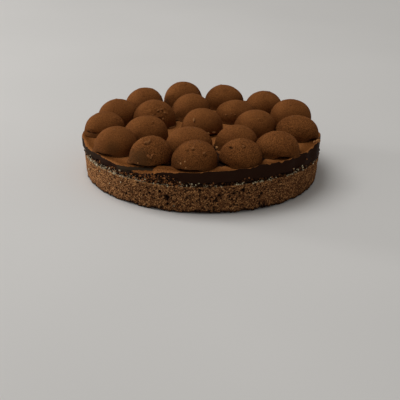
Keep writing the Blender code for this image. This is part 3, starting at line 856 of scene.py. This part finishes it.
class CAKE_OT_sponge(bpy.types.Operator):
    """Builds the sponge disc with its crumbly cut side"""

    bl_idname = "cake.sponge"
    bl_label = "Sponge"

    def execute(self, context):
        sponge = context.scene.cake_sponge
        side, own, hollow_shade = sponge_side(sponge)
        angle_deg = full_circle(SPONGE_COLUMNS)
        undercut = 2.9 * MM + 1.3 * MM * soft_noise(round_points(sponge.foot_radius, angle_deg), 5.0, 13)
        low = round_points(sponge.foot_radius - undercut, angle_deg)
        under = np.stack([low, 0.35 * low + 0.65 * side[0] * (1, 1, 0.7)])
        top = face_rings(side[-1], (0.97, 0.9, 0.5), sponge_middle_height())
        rings = np.concatenate([under, side, top])
        form = closed_form(rings, (0, 0, 0), (0, 0, sponge_middle_height()))
        # The underside is painted dark and low in tone: painted shade.
        extra = np.ones_like(own[:2])
        values = {"tone": np.concatenate([0.3 * extra, own]), "hollow_shade": np.concatenate([0.8 * extra, hollow_shade])}
        look = chocolate_sponge(sponge)
        add_piece("sponge_disc", form, look, ("sponge_base",), values=values)
        return {"FINISHED"}


# The crust

CRUST_COLUMNS = 1080
CRUST_ROWS = 15
# Where it lies further back: from and to which direction, and how soft the ends are, in degrees.
CRUST_RECESS = (-97, -44, 4)
SUGAR_SEED = 7
CRUMB_SEED = 11


class CAKE_OT_crust(bpy.types.Operator):
    """Builds the crust's disc of dark crumb, full of holes at its side"""

    bl_idname = "cake.crust"
    bl_label = "Crust"

    def execute(self, context):
        crust = context.scene.cake_crust
        angle_deg = full_circle(CRUST_COLUMNS)[None, :]
        share = np.linspace(0, 1, CRUST_ROWS)[:, None]
        low = sponge_edge_height(angle_deg) + CONTACT_GAP
        height = low + share * (crust_edge_height(angle_deg) - low)
        outer = crust_radius() - 0.9 * MM * between(angle_deg, *CRUST_RECESS)
        smooth = round_points(outer, angle_deg, height)
        nearest, second, own = grains(smooth, 1.9, 61)
        gap = np.exp(-(((second - nearest) / 0.2) ** 2))
        open_hole = holes(smooth, 2.4, 71, share=0.5, width=0.28)
        crag = 0.35 * MM * soft_noise(smooth, 3.0, 62) + 0.35 * MM * (1 - nearest**2)
        inward = 0.7 * MM * gap + 1.8 * MM * open_hole
        fade = smooth_step(share, 0.0, 0.12) * smooth_step(share, 1.0, 0.88)
        side = round_points(outer + crag - inward * fade, angle_deg, height)
        # Painted shade in the gaps and holes, with some of each grain's own tone added.
        hollow_shade = np.clip(0.6 * gap + 1.1 * open_hole + 0.35 * own, 0, 1)
        under = sponge_middle_height() + CONTACT_GAP
        middle = sponge_middle_height() + crust.thickness
        foot = face_rings(side[0], (0.5, 0.9), under)
        top = face_rings(side[-1], (0.9, 0.5), middle)
        form = closed_form(np.concatenate([foot, side, top]), (0, 0, under), (0, 0, middle))
        values = {"hollow_shade": np.concatenate([np.ones_like(own[:2]), hollow_shade])}
        add_piece("crust_disc", form, baked_crumb(crust), ("crumb_crust",), values=values)
        return {"FINISHED"}


def run_angles(draw, centre_deg, half_deg, count):
    """Directions spread evenly over a run, a few of them a little past its ends."""
    return centre_deg + half_deg * draw.uniform(-1.1, 1.1, count)


def with_rows(table, angle_deg, height, half):
    """Adds a table's rows, each a direction, a height and a half size in millimetres."""
    rows = np.array(table).T * ((1,), (MM,), (MM,))
    return np.concatenate([(angle_deg, height, half), rows], axis=1)


def strewn(draw, place, half, least, divisions, roughness):
    """Lumps round the cake: each one's sizes are drawn from `least` to 1.15 of its half size."""
    sizes = half[:, None] * draw.uniform(least, 1.15, (len(half), 3))
    return lumps(draw, round_points(*place), sizes, random_frames(draw, len(half)), divisions, roughness)


class CAKE_OT_sugar(bpy.types.Operator):
    """Strews the sugar crystals along the sponge's top edge"""

    bl_idname = "cake.sugar"
    bl_label = "Sugar crystals"

    def execute(self, context):
        crust = context.scene.cake_crust
        draw = np.random.default_rng(SUGAR_SEED)
        runs = []
        for centre, half, count, stray, scale in SUGAR_RUNS:
            run = run_angles(draw, centre, half, round(count * crust.sugar_share))
            above = 0.2 + 0.5 * stray + stray * draw.normal(0, 0.75, len(run))
            runs.append(np.stack(np.broadcast_arrays(run, above, scale)))
        angle_deg, above, scale = np.concatenate(runs, axis=1)
        height = sponge_edge_height(angle_deg) + np.maximum(above, -0.3) * MM
        half = scale * draw.uniform(0.28, 0.72, len(angle_deg)) * MM
        angle_deg, height, half = with_rows(LARGE_CRYSTALS, angle_deg, height, half)
        radius = sponge_radius(height) + (1.1 * above_crust(angle_deg, height) - 0.25) * MM
        radius = radius + draw.uniform(-0.35, 0.35, len(half)) * MM
        form, each = strewn(draw, (radius, angle_deg, height), half, least=0.7, divisions=1, roughness=0.22)
        tone = draw.uniform(0.0, 1.0, len(half)) ** 1.5
        tone[-len(LARGE_CRYSTALS) :] = draw.uniform(0.5, 1.0, len(LARGE_CRYSTALS))
        # Coarse sugar, baked on: satin crystals, cream where they are clean and tan where stained.
        look = toned_material("coarse_sugar", linear(DARK_SUGAR), crust.sugar, roughness=0.4, specular=0.4)
        values = {"tone": np.repeat(tone, each)}
        add_piece("sugar_crystals", form, look, smooth=False, values=values)
        return {"FINISHED"}


class CAKE_OT_crumbs(bpy.types.Operator):
    """Strews the loose crumbs over the crust's side"""

    bl_idname = "cake.crumbs"
    bl_label = "Loose crumbs"

    def execute(self, context):
        crust = context.scene.cake_crust
        draw = np.random.default_rng(CRUMB_SEED)
        runs = []
        for centre, half, count, lightest in CRUMB_RUNS:
            run = run_angles(draw, centre, half, round(count * crust.crumb_share))
            runs.append(np.stack(np.broadcast_arrays(run, lightest)))
        angle_deg, lightest = np.concatenate(runs, axis=1)
        low = sponge_edge_height(angle_deg)
        share = draw.uniform(0.05, 1.0, len(angle_deg))
        height = low + share * (along(CRUMB_REACH, angle_deg) - low)
        radius = crust_radius() + 1.3 * MM * above_crust(angle_deg, height)
        radius = radius + draw.uniform(-0.7, 0.9, len(angle_deg)) * MM
        half = draw.uniform(0.35, 0.92, len(angle_deg)) ** 1.2 * MM
        angle_deg, height, half = with_rows(STUCK_CRUMBS, angle_deg, height, half)
        stuck = np.ones(len(STUCK_CRUMBS))
        radius = np.concatenate([radius, stuck * (context.scene.cake_ganache.radius - 0.1 * MM)])
        lightest = np.concatenate([lightest, stuck * 0.9])
        form, each = strewn(draw, (radius, angle_deg, height), half, least=0.65, divisions=2, roughness=0.25)
        tone = lightest * smooth_step(draw.uniform(0, 1, len(half)), 0.42, 0.9)
        # Dry crumbs, broken off: dull, mostly as dark as the crust, a few light all through.
        look = toned_material("loose_crumb", crust.dark, crust.light, roughness=0.9, specular=0.15)
        add_piece("loose_crumbs", form, look, values={"tone": np.repeat(tone, each)})
        return {"FINISHED"}


# The ganache

GANACHE_COLUMNS = 840
TOP_ROWS = 50
TOP_ROUNDING = 4 * MM
INNERMOST = 1.5 * MM
# Gaps between domes narrower than this are left without cocoa, as painted shade.
SHADED_GAP_WIDTH = 7.0 * MM
OUTER_WAVES = ((13, 0, 0.6), (23, 140, 0.5), (31, 60, 0.4))
# Runs along the lip: from and to which direction, and how soft their ends are, all in degrees.
RAGGED_TIP = (-31, -12, 3)
RAGGED_FRONT = (-76, -31, 5)
SPILT_DUST = (-62, -12, 6)
DUSTED_DROOP = (-122.5, -112, 1.0)
BARE_DROOP = (-131.5, -112.6, 0.4)
# Places, each a direction and a half width: a bulge, a greyish film, partly a painted reflection,
# and a broader rim of painted shade.
BULGE_PLACE = (-174, 9)
SHEEN_FILM_PLACE = (-158, 12)
SHADED_RIM_PLACE = (-15, 25)
# The mound of ganache beside the droop, and the directions that it rises and falls between.
MOUND_RISE, MOUND_RADIUS, MOUND_REACH = 2.4 * MM, 91.5 * MM, 5.5 * MM
MOUND_START, MOUND_END = (-113.0, -110.5), (-99.0, -107.0)


def ganache_path(angle_deg):
    """The ganache's profile at each direction, from under the crust's edge, down over it, up the
    side, over the lip and in along the top, its corners rounded by cutting. Gives the radius,
    the height, and a place that is 0 at the foot, 1 at the lip and 2 on the top."""
    ganache = bpy.context.scene.cake_ganache
    low = crust_edge_height(angle_deg) + CONTACT_GAP
    ring = round_points(ganache.radius, angle_deg)
    ragged = 0.6 * between(angle_deg, *RAGGED_TIP) + 0.45 * between(angle_deg, *RAGGED_FRONT)
    lip = lip_height(angle_deg) + MM * ragged * soft_noise(ring, 2.6, 85)
    hang = along(HANG, angle_deg) * (1 + 0.45 * soft_noise(ring, 3.5, 86))
    outer = ganache.radius + ganache.wave * ripple(angle_deg, OUTER_WAVES)
    outer = outer + 1.2 * MM * bump(angle_deg, *BULGE_PLACE)
    inside = TOP_RADIUS - TOP_ROUNDING
    stops = (
        (crust_radius(), low, 0.0),
        (crust_radius() + 0.9 * MM, low - 0.85 * hang, 0.0),
        (outer - 0.8 * MM, low - hang, 0.0),
        (outer - 0.5 * MM, low + 0.3 * (lip - low), 0.3),
        (outer - 0.3 * MM, low + 0.75 * (lip - low), 0.75),
        (outer - 0.4 * MM, low + 0.96 * (lip - low), 0.96),
        (outer - 0.8 * MM, lip, 1.0),
        (TOP_RADIUS, top_height(round_points(TOP_RADIUS, angle_deg)), 1.5),
        (inside, top_height(round_points(inside, angle_deg)), 2.0),
    )
    path = cut_corners(np.array([np.stack(np.broadcast_arrays(*stop), -1) for stop in stops]), 2)
    return path[..., 0], path[..., 1], path[..., 2], lip


def dust_and_shade_cover(angle_deg, radius, height, place, lip):
    """Where cocoa lies on the ganache: all of the top, and over the lip's edge as far as soft
    noise reaches, less the bare strip where the lip droops, and less painted shade: the narrow gaps
    where the two nearest domes' feet are together less than the gap's width away, and the shade
    spots, where the cocoa is left off so that the dark chocolate shows."""
    ring = round_points(bpy.context.scene.cake_ganache.radius, angle_deg)
    spill = 0.5 * soft_noise(ring, 4.5, 84) + 0.35 * soft_noise(ring, 1.8, 87)
    spill = spill + 0.9 * between(angle_deg, *SPILT_DUST) * soft_noise(ring, 2.4, 88)
    reach = MM * (0.2 + spill + 1.1 * between(angle_deg, *DUSTED_DROOP))
    dust = np.where(place >= 1, 1.0, smooth_step(reach - (lip - height), -0.25 * MM, 0.25 * MM))
    low = along(BARE_STRIP, angle_deg, 1)
    high = along(BARE_STRIP, angle_deg, 2)
    edge = 0.15 * MM
    strip = smooth_step(height, low - edge, low + edge) * smooth_step(height, high + edge, high - edge)
    strip = strip * between(angle_deg, *BARE_DROOP) * (radius > 90 * MM)
    points = round_points(radius, angle_deg)
    away = []
    for name in DOMES:
        centre, foot_radius, _ = dome_place(name)
        away.append(np.linalg.norm(points[..., :2] - centre, axis=-1) - foot_radius)
    # Painted shade: no cocoa where two domes' feet come close together.
    together = np.sum(np.sort(away, axis=0)[:2], axis=0) + 1.2 * MM * soft_noise(points, 3.0, 89)
    dust = dust * (1 - strip) * smooth_step(together, 0.5 * SHADED_GAP_WIDTH, SHADED_GAP_WIDTH)
    # Painted shade: no cocoa on the shade spots.
    for centre_deg, out_mm, length_mm, width_mm in SHADE_SPOTS:
        turn = np.radians(angle_deg - centre_deg)
        u = (radius * np.cos(turn) - out_mm * MM) / (length_mm * MM)
        v = radius * np.sin(turn) / (width_mm * MM)
        dust = dust * (1 - np.exp(-(u**4) - v * v))
    return dust, strip


class CAKE_OT_ganache(bpy.types.Operator):
    """Builds the ganache layer with its dark side, its lip and its dusted top"""

    bl_idname = "cake.ganache"
    bl_label = "Ganache"

    def execute(self, context):
        scene = context.scene
        angle_deg = full_circle(GANACHE_COLUMNS)
        radius, height, place, lip = ganache_path(angle_deg)
        inner = np.linspace(TOP_RADIUS - TOP_ROUNDING, INNERMOST, TOP_ROWS)[1:, None] + 0 * lip
        radius = np.concatenate([radius, inner])
        height = np.concatenate([height, top_height(round_points(inner, angle_deg))])
        place = np.concatenate([place, np.full_like(inner, 2.0)])
        dust, strip = dust_and_shade_cover(angle_deg, radius, height, place, lip)
        skin = round_points(radius, angle_deg, height)
        on_top = smooth_step(place, 1.0, 1.5)
        height = height + on_top * MM * (0.16 * soft_noise(skin, 9.0, 81) + 0.08 * soft_noise(skin, 3.0, 82))
        mound = smooth_step(angle_deg - 360, *MOUND_START) * smooth_step(angle_deg - 360, *MOUND_END)
        height = height + MOUND_RISE * mound * np.exp(-(((radius - MOUND_RADIUS) / MOUND_REACH) ** 2))
        radius = radius + (1 - on_top) * MM * 0.15 * soft_noise(skin, 7.0, 83)
        # A film at the left and on the bare strip, partly a painted reflection.
        film = 0.5 * bump(angle_deg, *SHEEN_FILM_PLACE) + 0.8 * strip
        side = round_points(radius, angle_deg, height)
        foot_height = sponge_middle_height() + scene.cake_crust.thickness + CONTACT_GAP
        rings = np.concatenate([face_rings(side[0], (0.5, 0.9), foot_height), side])
        form = closed_form(rings, (0, 0, foot_height), (0, 0, TOP_HEIGHT))
        # The top's outer rim, broader at the right front, is darkened as painted shade.
        broader_shade = 4 * MM * bump(angle_deg, *SHADED_RIM_PLACE)
        scant_and_shade = on_top * smooth_step(radius + broader_shade, 84 * MM, 93 * MM)
        values = {"dust": dust, "film": film, "scant_and_shade": scant_and_shade}
        values = {name: np.concatenate([0 * dust[:2], value]) for name, value in values.items()}
        values["grain"] = np.full_like(values["scant_and_shade"], 0.6)
        values["dust"] = np.append(values["dust"].ravel(), [0.0, 1.0])
        look = dusted_ganache(scene.cake_ganache, scene.cake_domes)
        add_piece("ganache_disc", form, look, ("ganache_layer",), values=values)
        return {"FINISHED"}


# The domes

PRESS_WIDTH = 0.4 * MM
TOP_LATITUDE_DEG = 88
MARK_REACH = 8 * MM
# How far the small marks stand out that every dome has, in millimetres.
SMALL_MARKS = (0.3, -0.4, 0.25, -0.35, 0.4, -0.3, 0.3, -0.4, 0.35)
SCRAP_SEED = 5


def dome_place(name):
    """A dome's centre on the cake, its radius and its height, in metres."""
    turn_deg, out_mm, width_mm, height_mm = DOMES[name]
    return round_points(out_mm * MM, turn_deg)[:2], width_mm * MM / 2, height_mm * MM


def pressed(across, name):
    """Keeps a dome's points on its own side of the plane between it and each neighbour: a reach
    past the limit becomes limit - w ln(1 + e^((limit - reach) / w)), which rounds the corner."""
    centre, radius, _ = dome_place(name)
    for other in DOMES:
        if other == name:
            continue
        other_centre, other_radius, _ = dome_place(other)
        apart = other_centre - centre
        distance = np.linalg.norm(apart)
        direction = apart / distance
        limit = radius / (radius + other_radius) * distance - CONTACT_GAP / 2
        reach = across @ direction
        held = limit - PRESS_WIDTH * np.logaddexp(0, (limit - reach) / PRESS_WIDTH)
        across = across + (held - reach)[..., None] * direction
    return across


def dome_normals(local, radius, height):
    """Outward directions on the dome's plain form, an ellipsoid over its waist: (x / R^2,
    y / R^2, (z - waist) / H^2), made one long."""
    upright = (local[..., 2] - DOME_WAIST) / (height - DOME_WAIST) ** 2
    flat = local[..., :2] / radius**2
    outward = np.concatenate([flat, upright[..., None]], axis=-1)
    return outward / np.linalg.norm(outward, axis=-1, keepdims=True)


def mark_frame(name, turn_deg, share):
    """The place on a dome at a direction and a share of its radius, in the dome's own frame,
    and the directions out of it, round it and up it."""
    _, radius, height = dome_place(name)
    rise = np.sqrt(np.maximum(0, 1 - share**2))
    local = round_points(share * radius, turn_deg, DOME_WAIST + rise * (height - DOME_WAIST))
    outward = dome_normals(local, radius, height)
    around = np.cross((0, 0, 1), outward)
    around = around / np.linalg.norm(around)
    return local, outward, around, np.cross(outward, around)


def patch_shape(name, local, turn_deg, share, reach_mm):
    """A flat-topped patch on a dome: exp(-(distance / reach)^4)."""
    place, *_ = mark_frame(name, turn_deg, share)
    away = np.linalg.norm(local - place, axis=-1) / (reach_mm * MM)
    return np.exp(-(away**4))


def dome_relief(name, local, points, domes):
    """How far each point stands out: soft lumps, fine grain, the dome's rough patches, and a
    bell for each mark, its rise times exp(-(u / length)^2 - (v / height)^2)."""
    fine = soft_noise(points, 2.4, 92) + soft_noise(points, 1.2, 93)
    relief = domes.lump_height * soft_noise(points, 7.0, 91)
    relief += DUST_GRAIN.get(name, SMOOTH_DUST) * domes.grain_height * fine
    for turn_deg, share, reach_mm, high_mm in ROUGH_PATCHES.get(name, ()):
        crumbly = 0.6 * soft_noise(points, 2.1, 94) + 0.4 * soft_noise(points, 1.3, 95)
        relief += high_mm * MM * crumbly * patch_shape(name, local, turn_deg, share, reach_mm)
    draw = random.Random(f"marks {name}")
    marks = [*DOME_MARKS.get(name, ())]
    for rise_mm in SMALL_MARKS:
        turn_deg, share = draw.uniform(-180, 180), draw.uniform(0.2, 0.95)
        marks.append((turn_deg, share, draw.uniform(0.6, 1.3), draw.uniform(0.6, 0.9), rise_mm))
    for turn_deg, share, length_mm, high_mm, rise_mm in marks:
        place, _, around, up = mark_frame(name, turn_deg, share)
        u = (local - place) @ around / (length_mm * MM)
        v = (local - place) @ up / (high_mm * MM)
        near = np.linalg.norm(local - place, axis=-1) < MARK_REACH
        relief += np.where(near, rise_mm * MM * np.exp(-u * u - v * v), 0.0)
    return relief


def dome_form(name, domes):
    """A dome over latitude and direction: radius cos(latitude), its waist at latitude 0, its
    foot narrower below it where it is sheltered and spread a little elsewhere, a slow lobe, a
    lean that grows with the square of the height, pressed by its neighbours and set on the
    ganache. Gives its rings, its top, and where it is bare and painted near-black as shade, where
    the cocoa is thin, and where it is darker on steep faces, as sparse dust and painted shade."""
    centre, radius, height = dome_place(name)
    draw = random.Random(f"dome_{name}")
    phases = [draw.uniform(0, 360) for _ in range(3)]
    lean = np.array([draw.uniform(-1, 1), draw.uniform(-1, 1)]) * DOME_LEAN
    latitude = np.radians(np.linspace(-DOME_FOOT_DEG, TOP_LATITUDE_DEG, domes.rows))[:, None]
    angle_deg = full_circle(domes.columns)[None, :]
    rise = np.sin(latitude)
    below = DOME_WAIST / np.sin(np.radians(DOME_FOOT_DEG))
    level = DOME_WAIST + rise * np.where(rise < 0, below, height - DOME_WAIST)
    waves = zip((2, 3, 5), phases, (1.0, 0.7, 0.4))
    sheltered = between(angle_deg, *UNDERCUTS[name], 13) if name in UNDERCUTS else 0 * angle_deg
    narrow = np.where(rise < 0, (1 - np.cos(latitude)) * (0.2 + 0.9 * sheltered), 1 - np.cos(latitude))
    spread = between(angle_deg, *FOOT_SPREADS[name], 25) if name in FOOT_SPREADS else 0 * angle_deg
    edge = 0.6 * np.exp(-level / (0.7 * MM)) + 1.5 * spread * np.exp(-level / (2.6 * MM))
    flare = (1 - sheltered) * MM * edge
    out = radius * (1 - narrow) + flare - 0.7 * MM * sheltered * smooth_step(level, 1.6 * MM, 0.0)
    out = out * (1 + DOME_LOBE * ripple(angle_deg, waves))
    plain = round_points(out, angle_deg, level)
    normals = dome_normals(plain, radius, height)
    across = plain[..., :2] + lean * ((level / height) ** 2)[..., None]
    local = np.concatenate([pressed(across, name), plain[..., 2:]], axis=-1)
    middle = np.array([*centre, 0.0])
    relief = dome_relief(name, plain, local + middle, domes) * smooth_step(level, 0.4 * MM, 2.0 * MM)
    points = local + relief[..., None] * normals + middle
    lift = 0.8 * MM * sheltered * smooth_step(level, DOME_WAIST, 0.0)
    points[..., 2] += top_height(points) + CONTACT_GAP + lift
    top = np.array([*(centre + lean), height + top_height(middle) + CONTACT_GAP])
    ragged = 0.25 * MM * soft_noise(points, 1.5, 96)
    # Bare where the foot is sheltered and in the dents; their near-black colour is partly painted shade.
    bare = sheltered * smooth_step(level + ragged, 1.1 * MM, 0.5 * MM)
    bare = np.maximum(bare, 0.8 * smooth_step(-relief, 0.5 * MM, 1.1 * MM))
    thin = 0.3 * smooth_step(level + 6 * ragged, 5.5 * MM, 0.5 * MM)
    for *place, depth in THIN_DUST.get(name, ()):
        thin = np.maximum(thin, depth * patch_shape(name, plain, *place))
    # Darker on steep faces, partly as sparse dust and partly as painted shade.
    scant_and_shade = 0.45 * (1 - smooth_step(normals[..., 2], 0.05, 0.9))
    grain = np.full_like(bare, DUST_GRAIN.get(name, SMOOTH_DUST))
    return points, top, {"bare": bare, "thin": thin, "scant_and_shade": scant_and_shade, "grain": grain}


class CAKE_OT_domes(bpy.types.Operator):
    """Pipes the 21 domes and dusts them with cocoa"""

    bl_idname = "cake.domes"
    bl_label = "Piped domes"

    def execute(self, context):
        domes = context.scene.cake_domes
        look = cocoa_dust(domes)
        for name in DOMES:
            rings, top, values = dome_form(name, domes)
            form = closed_form(rings, rings[0].mean(axis=0), top)
            add_piece(f"piped_dome_{name}", form, look, (f"dome_{name}",), values=values)
        return {"FINISHED"}


class CAKE_OT_scraps(bpy.types.Operator):
    """Lays the small scraps of dusted chocolate on the domes"""

    bl_idname = "cake.scraps"
    bl_label = "Chocolate scraps"

    def execute(self, context):
        domes = context.scene.cake_domes
        centres, frames, sizes = [], [], []
        for name, turn_deg, share, length_mm, high_mm, thick_mm, tilt_deg, _ in SCRAPS:
            place, outward, around, up = mark_frame(name, turn_deg, share)
            centre, _, _ = dome_place(name)
            spot = place + (*centre, 0.0) + outward * 0.3 * thick_mm * MM
            on_dome = spot[2] + CONTACT_GAP
            spot[2] = top_height(spot) + (on_dome if share <= 1 else 0.5 * high_mm * MM)
            turn = np.radians(tilt_deg)
            lengthwise = np.cos(turn) * around + np.sin(turn) * up
            frames.append(np.stack([lengthwise, np.cross(outward, lengthwise), outward], axis=-1))
            centres.append(spot)
            sizes.append(np.array([length_mm, high_mm, thick_mm]) * MM)
        draw = np.random.default_rng(SCRAP_SEED)
        parts = map(np.array, (centres, sizes, frames))
        form, each = lumps(draw, *parts, divisions=2, roughness=0.18)
        # Scraps of chocolate, dusted with the domes: dull, from the cocoa's brown to a pale tan, the tan
        # partly a painted light.
        look = toned_material("dusted_scrap", domes.cocoa, domes.scrap, roughness=0.9, specular=0.1)
        values = {"tone": np.repeat([row[-1] for row in SCRAPS], each)}
        add_piece("chocolate_scraps", form, look, smooth=False, values=values)
        return {"FINISHED"}


# The stage

FLOOR_HALF, FLOOR_DEPTH = 6.0, 0.05 * MM
# The lights: place, the point that they look at, and their side.
KEY_LIGHT = ((-0.8, 0.2, 1.86), (0, 0, 0.03), 1.5)
SIDE_LIGHT = ((-1.28, 0.42, 0.15), (0, 0, 0.02), 0.26)


def add_area_light(name, place, target, side, power):
    """A square soft light that looks at a point, and that the camera doesn't see."""
    light = bpy.data.lights.new(name, "AREA")
    light.size = side
    light.energy = power
    holder = add_object(name, light)
    holder.location = place
    holder.rotation_euler = (Vector(target) - Vector(place)).to_track_quat("-Z", "Y").to_euler()
    holder.visible_camera = False


class CAKE_OT_stage(bpy.types.Operator):
    """Sets the plain floor, the soft light and the camera"""

    bl_idname = "cake.stage"
    bl_label = "Floor, light and camera"

    def execute(self, context):
        scene = context.scene
        settings = scene.cake_stage
        mesh = bpy.data.meshes.new("floor")
        corners = ((-1, -1), (1, -1), (1, 1), (-1, 1))
        points = [(FLOOR_HALF * x, FLOOR_HALF * y, -FLOOR_DEPTH) for x, y in corners]
        mesh.from_pydata(points, [], [(0, 1, 2, 3)])
        mesh.materials.append(matt_paint(settings.floor))
        add_object("floor", mesh)
        add_area_light("key_light", *KEY_LIGHT, settings.key_power)
        add_area_light("side_light", *SIDE_LIGHT, settings.side_power)
        world = bpy.data.worlds.new("sky")
        world.use_nodes = True
        set_inputs(world.node_tree.nodes["Background"], {"Color": linear(SKY), "Strength": settings.sky})
        scene.world = world
        scene.view_settings.view_transform = "Standard"
        camera = bpy.data.cameras.new("camera")
        camera.sensor_width = CAMERA_FILM
        camera.lens = CAMERA_LENS
        camera.clip_start = 0.01
        scene.camera = add_object("camera", camera)
        back = [-value for value in CAMERA_FORWARD]
        turned = Matrix([CAMERA_RIGHT, CAMERA_UP, back]).transposed()
        scene.camera.matrix_world = Matrix.Translation(CAMERA_PLACE) @ turned.to_4x4()
        return {"FINISHED"}


class CAKE_PT_panel(bpy.types.Panel):
    """Lists the cake's pieces, in the order in which they are made"""

    bl_idname = "CAKE_PT_panel"
    bl_label = "Chocolate cake"
    bl_space_type = "VIEW_3D"
    bl_region_type = "UI"
    bl_category = "Cake"

    def draw(self, context):
        for operator in OPERATORS:
            self.layout.operator(operator.bl_idname)


SETTINGS = {
    "cake_sponge": SpongeSettings,
    "cake_crust": CrustSettings,
    "cake_ganache": GanacheSettings,
    "cake_domes": DomeSettings,
    "cake_stage": StageSettings,
}
OPERATORS = (
    CAKE_OT_sponge, CAKE_OT_crust, CAKE_OT_sugar, CAKE_OT_crumbs,
    CAKE_OT_ganache, CAKE_OT_domes, CAKE_OT_scraps, CAKE_OT_stage,
)


def register():
    for name, settings in SETTINGS.items():
        bpy.utils.register_class(settings)
        setattr(bpy.types.Scene, name, PointerProperty(type=settings))
    for made in (*OPERATORS, CAKE_PT_panel):
        bpy.utils.register_class(made)


def unregister():
    for made in reversed((*OPERATORS, CAKE_PT_panel)):
        bpy.utils.unregister_class(made)
    for name, settings in reversed(SETTINGS.items()):
        delattr(bpy.types.Scene, name)
        bpy.utils.unregister_class(settings)


def main():
    register()
    bpy.ops.cake.sponge()
    bpy.ops.cake.crust()
    bpy.ops.cake.sugar()
    bpy.ops.cake.crumbs()
    bpy.ops.cake.ganache()
    bpy.ops.cake.domes()
    bpy.ops.cake.scraps()
    bpy.ops.cake.stage()


if __name__ == "__main__":
    main()
